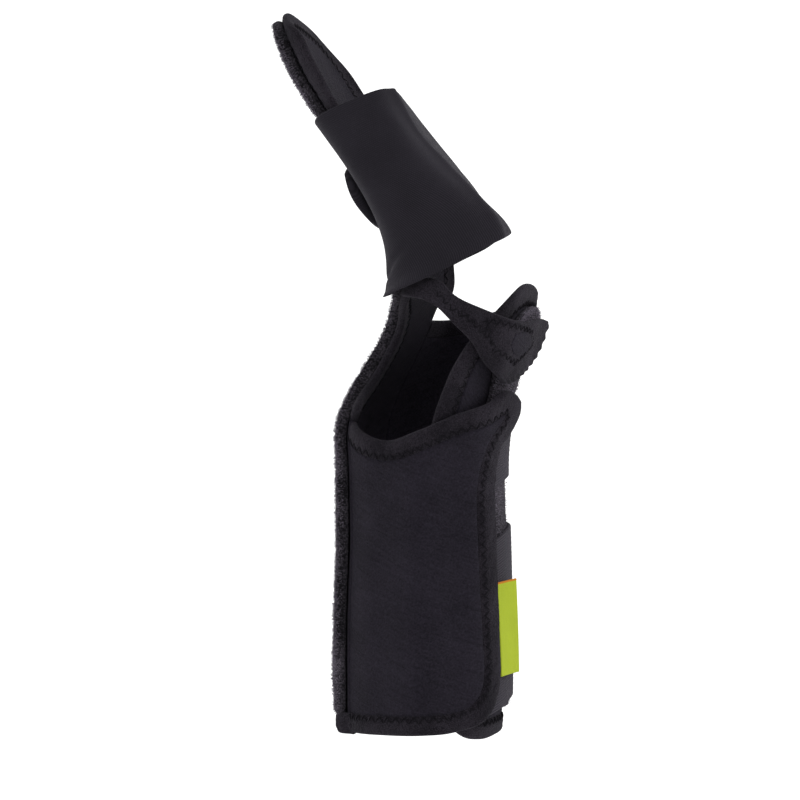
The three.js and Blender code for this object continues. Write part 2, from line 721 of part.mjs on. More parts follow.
const SLEEVE_RINGS = SLEEVE_ROWS.map((row) => {
  const palm = lifted(skin, 0, row.palm, OVER_PANEL + pocketWall(row.palm) + LAYER_GAP + SLEEVE_EASE);
  const depth = FINGER_DEPTH * row.depth + POCKET_TOP;
  const lean = radians(row.lean);
  return {
    along: row.share,
    shape: [
      palm.x, palm.z,
      palm.x + depth * Math.cos(lean), palm.z + depth * Math.sin(lean),
      (FINGER_BREADTH * row.half) / 2, row.power, row.fall, 1,
    ],
  };
});
const sleeveSurface = ringSurface(SLEEVE_RINGS);
const SAG_POWER = 1.5;

function fingerSleeve() {
  return sheetGeometry({
    surface: sleeveSurface,
    place: (u, v) => {
      const thumbSide = Math.sin(2 * Math.PI * u);
      const low = -SLEEVE_SAG * Math.max(thumbSide, 0) ** SAG_POWER;
      return { around: u, along: lerp(low, 1 + SLEEVE_SLANT * thumbSide, v) };
    },
    across: 44,
    up: 10,
    inner: flat(0),
    outer: flat(SLEEVE_WALL),
    closed: true,
  });
}

// The sleeve's closing tab lies on its palm side, with round corners, and bulges towards the thumb.
// centre: share of the sleeve's length; round: how much its edges draw in towards the corners
const TAB = { centre: 0.585, round: 0.38, bulge: [0.1, 0.9] };

function sleeveTab() {
  const length = sleeveSurface.point(0, 0).distanceTo(sleeveSurface.point(0, 1));
  const halfHeight = TAB_LENGTH / 2 / length;
  const halfTurn = TAB_WIDTH / 2 / sleeveSurface.girth(TAB.centre);
  return sheetGeometry({
    surface: sleeveSurface,
    place: (u, v) => {
      const across = 2 * u - 1;
      const up = 2 * v - 1;
      return {
        around: halfTurn * across * Math.sqrt(1 - TAB.round * up * up),
        along: TAB.centre + halfHeight * up * Math.sqrt(1 - TAB.round * across * across),
      };
    },
    across: 8,
    up: 6,
    inner: flat(SLEEVE_WALL + LAYER_GAP),
    outer: (around, along, u, v) => SLEEVE_WALL + LAYER_GAP + TAB_WALL
      + TAB_BULGE * Math.sin(Math.PI * v) * smooth(u, TAB.bulge),
  });
}

// A small folded side label, beside the flap's back edge and lying on the wide strap. slant: how much
// its lower end turns to the back, as a share of the girth
const LABEL = { left: 0.429, centre: 0.1455, slant: 0.012 };

function sideLabel() {
  return sheetGeometry({
    place: (u, v) => ({
      around: LABEL.left + (u * LABEL_WIDTH) / skin.girth(LABEL.centre) + LABEL.slant * (0.5 - v),
      along: LABEL.centre + ((v - 0.5) * LABEL_LENGTH) / TOTAL_RUN,
    }),
    across: 4,
    up: 5,
    inner: (around, along, u) => OVER_STRAP + LABEL_FLARE * u * u,
    outer: (around, along, u) => OVER_STRAP + LABEL_FLARE * u * u + LABEL_WALL,
  });
}

const CLOTH = { color: 0x24222a, roughness: 0.95, metalness: 0 };
const PILE_CLOTH = { color: 0x1d1b22, roughness: 1, metalness: 0 };
const ELASTIC = { color: 0x37353c, roughness: 0.85, metalness: 0 };
const SLEEVE_CLOTH = { color: 0x2d2b31, roughness: 0.9, metalness: 0 };
const LABEL_CLOTH = { color: 0xafc430, roughness: 0.8, metalness: 0 };

const PIECES = [
  ["palmar_panel", palmarPanel, CLOTH],
  ["tongue_binding", tongueBinding, CLOTH],
  ["palmar_pocket", palmarPocket, PILE_CLOTH],
  ["palmar_hem", palmarHem, CLOTH],
  ["radial_flap", radialFlap, CLOTH],
  ["radial_flap_binding", radialFlapBinding, CLOTH],
  ["outer_wing", outerWing, CLOTH],
  ["outer_wing_binding", outerWingBinding, CLOTH],
  ["dorsal_pile", dorsalPile, PILE_CLOTH],
  ["forearm_strap", () => elasticStrap(FOREARM_STRAP_CENTRE, FOREARM_STRAP_WIDTH, 8), ELASTIC],
  ["wrist_strap", () => elasticStrap(WRIST_STRAP_CENTRE, WRIST_STRAP_WIDTH, 3), ELASTIC],
  ["hand_strap", handStrap, CLOTH],
  ["hand_strap_hook", handStrapHook, PILE_CLOTH],
  ["finger_sleeve", fingerSleeve, SLEEVE_CLOTH],
  ["sleeve_tab", sleeveTab, SLEEVE_CLOTH],
  ["side_label", sideLabel, LABEL_CLOTH],
];

const splint = new THREE.Group();
for (const [name, makeGeometry, finish] of PIECES) {
  const piece = new THREE.Mesh(makeGeometry(), new THREE.MeshStandardMaterial(finish));
  piece.name = name;
  splint.add(piece);
}

export default splint;
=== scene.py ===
"""Looks of a worn multi finger splint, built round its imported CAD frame.

Every piece is laid on the same smooth limb surface as the CAD solids, in the same frame, and gets the
thickness, rounded edges, folds, stitching and cloth that the real one shows.
"""
from __future__ import annotations

import logging
import math
from dataclasses import dataclass, field
from enum import Enum
from typing import Callable, Sequence

import bpy
import numpy as np
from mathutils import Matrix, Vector

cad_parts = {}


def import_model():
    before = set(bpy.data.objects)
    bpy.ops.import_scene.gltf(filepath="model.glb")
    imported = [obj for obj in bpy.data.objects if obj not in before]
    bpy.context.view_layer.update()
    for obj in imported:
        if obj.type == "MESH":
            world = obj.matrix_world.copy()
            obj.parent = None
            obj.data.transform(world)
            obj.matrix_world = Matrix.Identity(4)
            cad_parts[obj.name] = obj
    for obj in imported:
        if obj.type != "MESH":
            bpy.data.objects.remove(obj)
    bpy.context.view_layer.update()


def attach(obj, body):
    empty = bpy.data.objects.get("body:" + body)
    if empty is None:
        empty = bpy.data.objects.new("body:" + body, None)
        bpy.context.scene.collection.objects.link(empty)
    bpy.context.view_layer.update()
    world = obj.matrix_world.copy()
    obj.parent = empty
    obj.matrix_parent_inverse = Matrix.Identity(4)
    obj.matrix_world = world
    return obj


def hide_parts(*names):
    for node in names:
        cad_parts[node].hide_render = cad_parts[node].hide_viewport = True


logging.basicConfig(level=logging.INFO, format="%(name)s: %(message)s")
log = logging.getLogger("splint")

Array = np.ndarray
Place = Callable[[Array, Array], Array]
Lift = Callable[["Spot"], Array]
MM = 0.001
UV_SPAN = 0.1
TINY, TINY_LENGTH = 1e-6, 1e-9


# Sizes in mm, the same as the CAD's

@dataclass(frozen=True)
class Run:
    """One straight run of the limb: where it starts, its lean and its hollow's size."""

    start: float
    length: float
    tilt: float
    depth: float
    breadth: float
    x: float
    z: float


FOREARM_RUN, HAND_RUN, FINGER_RUN = 89.0, 84.0, 115.0
HAND_TILT, FINGER_TILT = math.radians(13.8), math.radians(-29.4)
TOTAL_RUN = FOREARM_RUN + HAND_RUN + FINGER_RUN
RUNS = {
    "forearm": Run(0.0, FOREARM_RUN, 0.0, 49.5, 61.0, 0.0, -FOREARM_RUN),
    "hand": Run(FOREARM_RUN, HAND_RUN, HAND_TILT, 47.0, 80.0, 0.0, 0.0),
    "fingers": Run(FOREARM_RUN + HAND_RUN, FINGER_RUN, FINGER_TILT, 27.0, 70.0,
                   HAND_RUN * math.sin(HAND_TILT), HAND_RUN * math.cos(HAND_TILT)),
}
FLAT_GIRTH = math.pi * (RUNS["forearm"].depth + RUNS["forearm"].breadth) / 2

# One ring of the limb each: run, share of it, shift, depth, breadth, lean in degrees, power, fall
SECTIONS = (
    ("forearm", 0.00, 0.023, 1.00, 1.016, 0.0, 2.3, 0.00),
    ("forearm", 0.42, 0.019, 1.02, 1.000, 0.0, 2.3, 0.00),
    ("forearm", 0.83, 0.023, 0.98, 0.967, 0.0, 2.35, 0.00),
    ("hand", 0.14, -0.048, 1.01, 0.750, 0.0, 2.4, 0.00),
    ("hand", 0.31, -0.110, 1.02, 0.812, 1.0, 2.5, 0.00),
    ("hand", 0.49, -0.098, 1.00, 0.912, 4.5, 2.6, 0.02),
    ("hand", 0.71, -0.033, 0.95, 0.988, 7.5, 2.7, 0.05),
    ("hand", 0.89, 0.007, 0.93, 1.012, 11.0, 2.8, 0.08),
    ("hand", 1.00, 0.000, 0.93, 0.988, 18.3, 2.9, 0.12),
    ("fingers", 0.09, 0.000, 1.21, 1.057, 28.5, 3.2, 0.16),
    ("fingers", 0.22, 0.120, 1.00, 1.023, 28.5, 3.3, 0.18),
    ("fingers", 0.41, 0.070, 0.77, 0.986, 27.0, 3.4, 0.18),
    ("fingers", 0.66, -0.110, 0.60, 0.929, 27.0, 3.6, 0.18),
    ("fingers", 0.84, -0.160, 0.59, 0.886, 26.0, 3.6, 0.18),
    ("fingers", 1.00, -0.090, 0.60, 0.829, 24.0, 3.6, 0.18),
)


@dataclass(frozen=True)
class Walls:
    """Thicknesses of the layers in mm."""

    panel: float = 3.0
    binding: float = 2.8
    pocket: float = 4.3
    pile: float = 1.8
    strap: float = 1.2
    hand_strap: float = 2.5
    hook: float = 1.0
    flap: float = 2.8
    sleeve: float = 1.4
    tab: float = 2.2
    label: float = 0.8
    hem: float = 3.0
    layer_gap: float = 0.5
    seam_overlap: float = 0.7
    root_overlap: float = 3.0


WALLS = Walls()
PANEL_TOP = WALLS.panel
OVER_PANEL = PANEL_TOP + WALLS.layer_gap
PILE_TOP = OVER_PANEL + WALLS.pile
OVER_PILE = PILE_TOP + WALLS.layer_gap
STRAP_TOP = OVER_PILE + WALLS.strap
OVER_STRAP = STRAP_TOP + WALLS.layer_gap
HOOK_TOP = OVER_PILE + WALLS.hook
OVER_HOOK = HOOK_TOP + WALLS.layer_gap
POCKET_TOP = OVER_PANEL + WALLS.pocket
ON_WING = OVER_PANEL + WALLS.layer_gap


# Plain helpers

def smooth(value: Array, span: tuple[float, float]) -> Array:
    """Returns 0 below the span, 1 above it and a smooth step between."""
    t = np.clip((value - span[0]) / (span[1] - span[0]), 0.0, 1.0)
    return t * t * (3 - 2 * t)


def lerp(a: Array, b: Array, t: Array) -> Array:
    """Returns the blend of a and b at share t."""
    return a + (b - a) * t


def bell(value: Array, centre: float, width: float) -> Array:
    """Returns a smooth bump of height 1 at centre."""
    return np.exp(-((value - centre) / width) ** 2)


def unit(vectors: Array) -> Array:
    """Returns the vectors at length 1."""
    return vectors / np.maximum(np.linalg.norm(vectors, axis=-1, keepdims=True), TINY_LENGTH)


class Noise:
    """Smooth value noise on a plane, the same on each run."""

    def __init__(self, seed: int, size: int = 128) -> None:
        """Draws the grid of values. Args: the draw's seed, and how many cells there are each way."""
        self.size = size
        self.grid = np.random.default_rng(seed).random((size, size)) * 2 - 1

    def __call__(self, x: Array, y: Array) -> Array:
        """Blends the grid's values.

        Args:
            x: places across, in cells.
            y: places up, in cells.

        Returns:
            Values from -1 to 1.
        """
        x0, y0 = np.floor(x).astype(int), np.floor(y).astype(int)
        tx, ty = x - x0, y - y0
        tx, ty = tx * tx * (3 - 2 * tx), ty * ty * (3 - 2 * ty)
        pick = lambda i, j: self.grid[(x0 + i) % self.size, (y0 + j) % self.size]
        low = lerp(pick(0, 0), pick(1, 0), tx)
        high = lerp(pick(0, 1), pick(1, 1), tx)
        return lerp(low, high, ty)


# The limb's surface

def place_section(row: tuple) -> tuple[float, list[float]]:
    """Turns a row of SECTIONS into a ring.

    Args:
        row: the row.

    Returns:
        Its station, and its palm side's x and z, back's x and z, half breadth, power and fall.
    """
    name, at, shift, depth, breadth, lean, power, fall = row
    run = RUNS[name]
    reach, off, lean = run.length * at, run.depth * shift, math.radians(lean)
    half = run.depth * depth / 2
    x = run.x + math.sin(run.tilt) * reach + math.cos(run.tilt) * off
    z = run.z + math.cos(run.tilt) * reach - math.sin(run.tilt) * off
    shape = [x - half * math.cos(lean), z - half * math.sin(lean), x + half * math.cos(lean),
             z + half * math.sin(lean), run.breadth * breadth / 2, power, fall]
    return (run.start + reach) / TOTAL_RUN, shape


def blend_rows(stations: Array, shapes: Array, at: Array) -> Array:
    """Blends smoothly through rows of numbers whose stations aren't evenly spaced.

    Args:
        stations: where the rows are.
        shapes: the rows.
        at: where to blend.

    Returns:
        One row for each place in at.
    """
    last = len(stations) - 1
    before, after = np.maximum(np.arange(last + 1) - 1, 0), np.minimum(np.arange(last + 1) + 1, last)
    slopes = (shapes[after] - shapes[before]) / (stations[after] - stations[before])[:, None]
    index = np.clip(np.searchsorted(stations, at, side="right") - 1, 0, last - 1)
    width = (stations[index + 1] - stations[index])[:, None]
    t = (at - stations[index])[:, None] / width
    return ((2 * t ** 3 - 3 * t ** 2 + 1) * shapes[index] + (t ** 3 - 2 * t ** 2 + t) * slopes[index] * width
            + (3 * t ** 2 - 2 * t ** 3) * shapes[index + 1] + (t ** 3 - t ** 2) * slopes[index + 1] * width)


class RingSurface:
    """A surface made of closed rings. around is a share of the girth: 0 palm, 0.25 thumb side, 0.5 back."""

    COLUMNS = 512
    NORMAL_STEP = 0.004

    def __init__(self, stations: Array, shapes: Array, fall_power: float, span: tuple[float, float],
                 rows: int = 361) -> None:
        """Lays the rings.

        Args:
            stations: where the shapes are.
            shapes: rows from place_section.
            fall_power: how steeply the back falls to the little finger's side.
            span: the first and last place along.
            rows: how many rings there are.
        """
        self.span, self.rows = span, rows
        alongs = np.linspace(span[0], span[1], rows)
        self.grid = np.zeros((rows, self.COLUMNS + 1, 3))
        self.girths = np.zeros(rows)
        angle = np.linspace(0, 2 * math.pi, self.COLUMNS + 1)
        for index, shape in enumerate(blend_rows(stations, shapes, alongs)):
            self._ring(index, shape, angle, fall_power)

    def _ring(self, index: int, shape: Array, angle: Array, fall_power: float) -> None:
        """Lays one ring.

        Args:
            index: its row.
            shape: its numbers.
            angle: the angles of its columns.
            fall_power: how steeply the back falls.
        """
        palm_x, palm_z, back_x, back_z, half, power, fall = shape
        cosine = np.sign(np.cos(angle)) * np.abs(np.cos(angle)) ** (2 / power)
        sine = np.sign(np.sin(angle)) * np.abs(np.sin(angle)) ** (2 / power)
        back = (1 - cosine) / 2
        depth = back - fall * back * ((1 - sine) / 2) ** fall_power
        points = np.stack([lerp(palm_x, back_x, depth), -half * sine, lerp(palm_z, back_z, depth)], axis=1)
        lengths = np.concatenate([[0.0], np.cumsum(np.linalg.norm(np.diff(points, axis=0), axis=1))])
        self.girths[index] = lengths[-1]
        target = np.linspace(0, lengths[-1], self.COLUMNS + 1)
        for axis in range(3):
            self.grid[index, :, axis] = np.interp(target, lengths, points[:, axis])

    def point(self, around: Array, along: Array) -> Array:
        """Returns the points of the surface, in mm."""
        r = np.clip((along - self.span[0]) / (self.span[1] - self.span[0]), 0, 1) * (self.rows - 1)
        c = (around - np.floor(around)) * self.COLUMNS
        r0 = np.minimum(np.floor(r).astype(int), self.rows - 2)
        c0 = np.minimum(np.floor(c).astype(int), self.COLUMNS - 1)
        tr, tc = (r - r0)[..., None], (c - c0)[..., None]
        low = lerp(self.grid[r0, c0], self.grid[r0, c0 + 1], tc)
        high = lerp(self.grid[r0 + 1, c0], self.grid[r0 + 1, c0 + 1], tc)
        return lerp(low, high, tr)

    def girth(self, along: Array) -> Array:
        """Returns the girth at each place along, in mm."""
        return np.interp(along, np.linspace(*self.span, self.rows), self.girths)

    def normal(self, around: Array, along: Array) -> Array:
        """Returns the outward normals."""
        step = self.NORMAL_STEP
        turn = self.point(around + step, along) - self.point(around - step, along)
        rise = self.point(around, along + step) - self.point(around, along - step)
        return unit(np.cross(turn, rise))


def make_skin() -> RingSurface:
    """Returns the surface of the hollow in which the limb goes."""
    placed = [place_section(row) for row in SECTIONS]
    stations = np.array([station for station, _ in placed])
    return RingSurface(stations, np.array([shape for _, shape in placed]), 2.0, (-0.03, 1.03))


SKIN = make_skin()


# Curves on the cloth

class ClothCurve:
    """A smooth curve through rows of around and along, drawn on the cloth laid flat."""

    DIVISIONS = 40
    LEAST_GAP = 1e-4

    def __init__(self, rows: Sequence[Sequence[float]]) -> None:
        """Draws the curve through the rows."""
        points = np.array([[row[0] * FLAT_GIRTH, row[1] * TOTAL_RUN] for row in rows])
        padded = np.vstack([2 * points[0] - points[1], points, 2 * points[-1] - points[-2]])
        count = len(points) - 1
        pieces, places = [], []
        for i in range(count):
            share = np.linspace(0, 1, self.DIVISIONS, endpoint=i == count - 1)
            pieces.append(self._segment(*padded[i:i + 4], share))
            places.append((i + share) / count)
        self.xy, self.t = np.vstack(pieces), np.concatenate(places)
        steps = np.linalg.norm(np.diff(self.xy, axis=0), axis=1)
        self.lengths = np.concatenate([[0.0], np.cumsum(steps)])

    @staticmethod
    def _segment(p0: Array, p1: Array, p2: Array, p3: Array, t: Array) -> Array:
        """Returns points at shares t between p1 and p2, on a curve that also passes p0 and p3."""
        d0, d1, d2 = (max(float(np.linalg.norm(b - a)) ** 0.5, ClothCurve.LEAST_GAP)
                      for a, b in ((p0, p1), (p1, p2), (p2, p3)))
        leave = ((p1 - p0) / d0 - (p2 - p0) / (d0 + d1) + (p2 - p1) / d1) * d1
        arrive = ((p2 - p1) / d1 - (p3 - p1) / (d1 + d2) + (p3 - p2) / d2) * d1
        t = t[:, None]
        return (p1 + leave * t + (-3 * p1 + 3 * p2 - 2 * leave - arrive) * t ** 2
                + (2 * p1 - 2 * p2 + leave + arrive) * t ** 3)

    def at(self, t: Array) -> Array:
        """Returns around and along at curve parameters t."""
        return np.stack([np.interp(t, self.t, self.xy[:, 0]) / FLAT_GIRTH,
                         np.interp(t, self.t, self.xy[:, 1]) / TOTAL_RUN], axis=-1)

    def t_of(self, share: Array, low: float = 0.0, high: float = 1.0) -> Array:
        """Returns the parameters at shares of the length between parameters low and high."""
        ends = np.interp([low, high], self.t, self.lengths)
        return np.interp(lerp(ends[0], ends[1], share), self.lengths, self.t)

    def even(self, share: Array) -> Array:
        """Returns around and along at shares of the length."""
        return self.at(self.t_of(share))


def straight(start: Sequence[float], end: Sequence[float]) -> Callable[[Array], Array]:
    """Draws a straight edge.

    Args:
        start: the place where it starts.
        end: the place where it ends.

    Returns:
        A function that gives the places at shares of its length.
    """
    a, b = np.array(start[:2]), np.array(end[:2])
    return lambda t: a + (b - a) * np.asarray(t)[..., None]


def beside(here: Array, travel: Array, out: Array, on: Array, side: int) -> Array:
    """Moves places off a line.

    Args:
        here: places on the line.
        travel: the line's direction there.
        out: mm away from it.
        on: mm along it.
        side: 1 or -1, the side that is out.

    Returns:
        The moved places.
    """
    girth = SKIN.girth(here[..., 1])
    way = unit(np.stack([travel[..., 0] * girth, travel[..., 1] * TOTAL_RUN], axis=-1))
    around = here[..., 0] + (on * way[..., 0] - side * out * way[..., 1]) / girth
    along = here[..., 1] + (on * way[..., 1] + side * out * way[..., 0]) / TOTAL_RUN
    return np.stack([around, along], axis=-1)


def fill_edges(low: Callable, high: Callable, near: Callable, far: Callable) -> Place:
    """Fills the space between four edges.

    Args:
        low: the lower edge, from near to far.
        high: the upper edge, from near to far.
        near: the edge where u is 0, from low to high.
        far: the edge where u is 1, from low to high.

    Returns:
        The place function.
    """
    def place(u: Array, v: Array) -> Array:
        """Returns the places at shares u across and v up."""
        uu, vv = u[..., None], v[..., None]
        sides = lerp(near(v), far(v), uu) + lerp(low(u), high(u), vv)
        zero, one = np.zeros(1), np.ones(1)
        corners = lerp(lerp(low(zero), low(one), uu), lerp(high(zero), high(one), uu), vv)
        return sides - corners
    return place


class FreeEdge:
    """A panel's free edge and the outer edge of the binding round it."""

    TRAVEL_STEP = 0.002
    BINDING_WIDTH = 6.8

    def __init__(self, rows: Sequence[Sequence[float]], corners: tuple[int, int], side: int) -> None:
        """Draws the edge and the binding's rim.

        Args:
            rows: around, along, and how far the rim is out and on, in binding widths.
            corners: the rows where the panel's second and third stretch start.
            side: 1 or -1, the side that is out.
        """
        self.rows, self.side, self.last = rows, side, len(rows) - 1
        table = np.array(rows)
        before = np.maximum(np.arange(len(rows)) - 1, 0)
        after = np.minimum(np.arange(len(rows)) + 1, self.last)
        outer = beside(table[:, :2], table[after, :2] - table[before, :2],
                       self.BINDING_WIDTH * table[:, 2], self.BINDING_WIDTH * table[:, 3], side)
        self.inner, self.outer = ClothCurve(rows), ClothCurve(outer)
        self.breaks = (0.0, corners[0] / self.last, corners[1] / self.last, 1.0)

    def stretch(self, index: int) -> Callable[[Array], Array]:
        """Returns the panel's edge over one of its three stretches, by share of length."""
        low, high = self.breaks[index], self.breaks[index + 1]
        return lambda share: self.inner.at(self.inner.t_of(share, low, high))

    def _travel(self, curve: ClothCurve, t: Array) -> Array:
        """Returns the curve's directions at t."""
        step = self.TRAVEL_STEP
        return curve.at(np.minimum(t + step, 1)) - curve.at(np.maximum(t - step, 0))

    def seam(self, t: Array, out: float = -WALLS.seam_overlap) -> Array:
        """Returns the line at curve parameters t that is out mm beside the panel's edge."""
        return beside(self.inner.at(t), self._travel(self.inner, t), out, 0, self.side)

    def beyond_rim(self, row: Array) -> Array:
        """Returns places on the binding, where a strap is sewn to it."""
        t = row / self.last
        return beside(self.outer.at(t), self._travel(self.outer, t), -WALLS.root_overlap, 0, self.side)

    def binding(self, first_row: float, last_row: float) -> Place:
        """Returns the place function of the binding between two rows."""
        def place(u: Array, v: Array) -> Array:
            """Returns the binding's places, from the seam out to the rim."""
            t = self.inner.t_of(u, first_row / self.last, last_row / self.last)
            return lerp(self.seam(t), self.outer.at(t), v[..., None])
        return place


# The edges, as in the CAD

THUMB_SEAM, OUTER_SEAM, LOWER_END = 0.106, -0.127, 0.012

PALMAR_EDGE = (
    (THUMB_SEAM, LOWER_END, 1, 0), (THUMB_SEAM, 0.16, 1, 0), (THUMB_SEAM, 0.30, 1, 0),
    (THUMB_SEAM, 0.385, 1, 0), (0.088, 0.412, 1, 0), (0.040, 0.434, 1, 0), (0.000, 0.462, 1, 0),
    (-0.012, 0.500, 1, 0), (-0.008, 0.540, 1, 0), (0.030, 0.575, 1, 0), (0.095, 0.600, 1, 0),
    (0.146, 0.628, 1, 0), (0.164, 0.665, 1, 0), (0.168, 0.750, 1, 0), (0.176, 0.850, 1, 0),
    (0.186, 0.925, 1, 0), (0.180, 0.965, 1, 0), (0.118, 0.986, 1, 0), (0.000, 0.983, 1, 0),
    (-0.115, 0.967, 1, 0), (-0.170, 0.942, 1, 0), (-0.180, 0.890, 1, 0), (-0.172, 0.800, 1, 0),
    (-0.166, 0.700, 1, 0), (-0.156, 0.640, 1, 0), (-0.134, 0.605, 1, 0), (OUTER_SEAM, 0.575, 1, 0),
    (OUTER_SEAM, 0.440, 1, 0), (OUTER_SEAM, 0.300, 1, 0), (OUTER_SEAM, 0.150, 1, 0),
    (OUTER_SEAM, LOWER_END, 1, 0),
)
FLAP_EDGE = (
    (0.104, 0.386, 0.92, -0.38), (0.140, 0.375, 1, 0), (0.180, 0.366, 1, 0), (0.215, 0.363, 1, 0),
    (0.250, 0.367, 1, 0), (0.297, 0.382, 1, 0), (0.335, 0.397, 1, 0), (0.375, 0.411, 1, 0),
    (0.404, 0.420, 1.10, 0), (0.418, 0.4245, 1.25, -0.2), (0.4225, 0.4210, 1.50, -0.4),
    (0.4215, 0.4150, 1.55, -0.2), (0.413, 0.4070, 1.35, 0), (0.402, 0.397, 1.1, 0), (0.391, 0.384, 1, 0),
    (0.381, 0.362, 1, 0), (0.373, 0.330, 1, 0), (0.371, 0.290, 1, 0), (0.374, 0.210, 1, 0),
    (0.379, 0.135, 1, 0), (0.381, 0.092, 1, 0), (0.374, 0.068, 1, 0), (0.355, 0.050, 1, 0),
    (0.325, 0.042, 1, 0), (0.280, 0.039, 1, 0), (0.190, 0.038, 1, 0), (0.104, 0.038, 1, 0),
)
WING_EDGE = (
    (0.875, 0.535, 1, 0), (0.800, 0.533, 1, 0), (0.700, 0.540, 1, 0), (0.600, 0.550, 1, 0),
    (0.500, 0.555, 1, 0), (0.440, 0.552, 1, 0), (0.402, 0.541, 1, 0), (0.373, 0.525, 1, 0),
    (0.350, 0.503, 1, 0), (0.341, 0.480, 1, 0), (0.338, 0.450, 1, 0), (0.336, 0.420, 1, 0),
    (0.335, 0.385, 1, 0), (0.338, 0.300, 1, 0), (0.342, 0.160, 1, 0), (0.347, 0.075, 1, 0),
    (0.358, 0.046, 1, 0), (0.380, 0.034, 1, 0), (0.410, 0.031, 1, 0), (0.500, 0.034, 1, 0),
    (0.650, 0.036, 1, 0), (0.760, 0.036, 1, 0), (0.875, 0.036, 1, 0),
)
POCKET_THUMB = (
    (0.090, 0.037), (0.0975, 0.070), (0.0975, 0.200), (0.0970, 0.350), (0.082, 0.405), (0.040, 0.440),
    (0.012, 0.480), (0.006, 0.530), (0.040, 0.570), (0.105, 0.610), (0.150, 0.650), (0.168, 0.700),
    (0.176, 0.800), (0.186, 0.910), (0.190, 0.972),
)
POCKET_TOP_EDGE = (
    (-0.170, 0.925), (-0.140, 0.961), (-0.080, 0.981), (0.020, 0.996), (0.110, 1.006), (0.165, 0.998),
    (0.190, 0.972),
)
POCKET_OUTER = (
    (-0.108, 0.037), (-0.112, 0.080), (-0.112, 0.200), (-0.112, 0.350), (-0.112, 0.480), (-0.114, 0.560),
    (-0.130, 0.620), (-0.150, 0.680), (-0.165, 0.780), (-0.172, 0.880), (-0.170, 0.925),
)
PILE_THUMB = (
    (0.402, 0.045), (0.396, 0.120), (0.394, 0.300), (0.402, 0.430), (0.394, 0.461), (0.386, 0.481),
    (0.381, 0.500), (0.388, 0.520), (0.410, 0.538),
)
PILE_OUTER = ((0.680, 0.045), (0.690, 0.200), (0.690, 0.400), (0.680, 0.500), (0.640, 0.538))
PILE_TOP_EDGE = ((0.410, 0.538), (0.440, 0.550), (0.500, 0.556), (0.580, 0.550), (0.640, 0.538))
STRAP_RISE = ((0.405, 0), (0.460, 0.010), (0.520, 0.018), (0.640, 0.026), (0.760, 0.030), (0.868, 0.030))
STRAP_HIGH = (
    (0.232, 0.599), (0.257, 0.580), (0.294, 0.562), (0.349, 0.546), (0.416, 0.541), (0.480, 0.545),
    (0.532, 0.544),
)
STRAP_LOW = (
    (0.195, 0.581), (0.228, 0.569), (0.260, 0.551), (0.285, 0.534), (0.314, 0.513), (0.345, 0.487),
    (0.392, 0.463),
)
STRAP_END = (
    (0.392, 0.463), (0.430, 0.464), (0.490, 0.482), (0.525, 0.505), (0.537, 0.528), (0.532, 0.544),
)
HOOK_LOW = ((0.412, 0.468), (0.470, 0.472), (0.530, 0.488))
HOOK_HIGH = ((0.412, 0.532), (0.480, 0.536), (0.548, 0.532))
HOOK_END = ((0.530, 0.488), (0.556, 0.510), (0.548, 0.532))
# The stitched box on the hand strap
STRAP_BOX = ((0.318, 0.543), (0.428, 0.530), (0.462, 0.514), (0.402, 0.4905), (0.346, 0.507))
# Rows of stitches beside the box
STRAP_TACKS = (((0.232, 0.583), (0.290, 0.546)), ((0.282, 0.554), (0.342, 0.514)))
# The smooth patch in the box: its lower, right, upper and left edges
STRAP_PATCH = (
    ((0.386, 0.503), (0.412, 0.500), (0.441, 0.508)), ((0.441, 0.508), (0.446, 0.515), (0.432, 0.524)),
    ((0.372, 0.528), (0.402, 0.530), (0.432, 0.524)), ((0.386, 0.503), (0.370, 0.514), (0.372, 0.528)),
)

# One ring of the sleeve each: share of it, place on the palm, depth, breadth, lean, power, fall
SLEEVE_ROWS = (
    (-0.15, 0.565, 2.05, 1.26, 24.0, 2.9, 0.50),
    (0.00, 0.600, 1.88, 1.21, 25.8, 3.0, 0.50),
    (0.25, 0.672, 1.27, 1.11, 24.5, 3.8, 0.33),
    (0.50, 0.736, 0.94, 1.057, 23.0, 4.2, 0.21),
    (0.75, 0.799, 0.80, 1.029, 20.5, 4.4, 0.18),
    (1.00, 0.860, 0.90, 1.006, 22.0, 4.4, 0.30),
)


def under_sleeve(along: Array) -> Array:
    """Returns how far the sleeve squeezes the pocket, from 0 to 1."""
    return smooth(along, (0.59, 0.66)) * (1 - smooth(along, (0.83, 0.89)))


def pocket_wall(along: Array) -> Array:
    """Returns the pocket's wall in mm."""
    return WALLS.pocket * (1 - 0.20 * under_sleeve(along))


def make_sleeve() -> RingSurface:
    """Returns the inner surface of the finger sleeve."""
    fingers, clear = RUNS["fingers"], 0.2
    shapes = []
    for _, palm, depth, half, lean, power, fall in SLEEVE_ROWS:
        at = np.array(palm)
        lift = OVER_PANEL + float(pocket_wall(at)) + WALLS.layer_gap + clear
        start = SKIN.point(np.array(0.0), at) + SKIN.normal(np.array(0.0), at) * lift
        reach, lean = fingers.depth * depth + POCKET_TOP, math.radians(lean)
        shapes.append([start[0], start[2], start[0] + reach * math.cos(lean),
                       start[2] + reach * math.sin(lean), fingers.breadth * half / 2, power, fall])
    stations = np.array([row[0] for row in SLEEVE_ROWS])
    return RingSurface(stations, np.array(shapes), 1.0, (-0.2, 1.06), rows=240)


SLEEVE = make_sleeve()
PALMAR = FreeEdge(PALMAR_EDGE, (16, 20), -1)
FLAP = FreeEdge(FLAP_EDGE, (10, 22), 1)
WING = FreeEdge(WING_EDGE, (7, 16), -1)


# Sheets

@dataclass
class Spot:
    """Where each grid point of a sheet is: places, shares, and mm from its lower corner and edges."""

    around: Array
    along: Array
    u: Array
    v: Array
    x: Array
    y: Array
    edge: Array
    width: Array
    height: Array


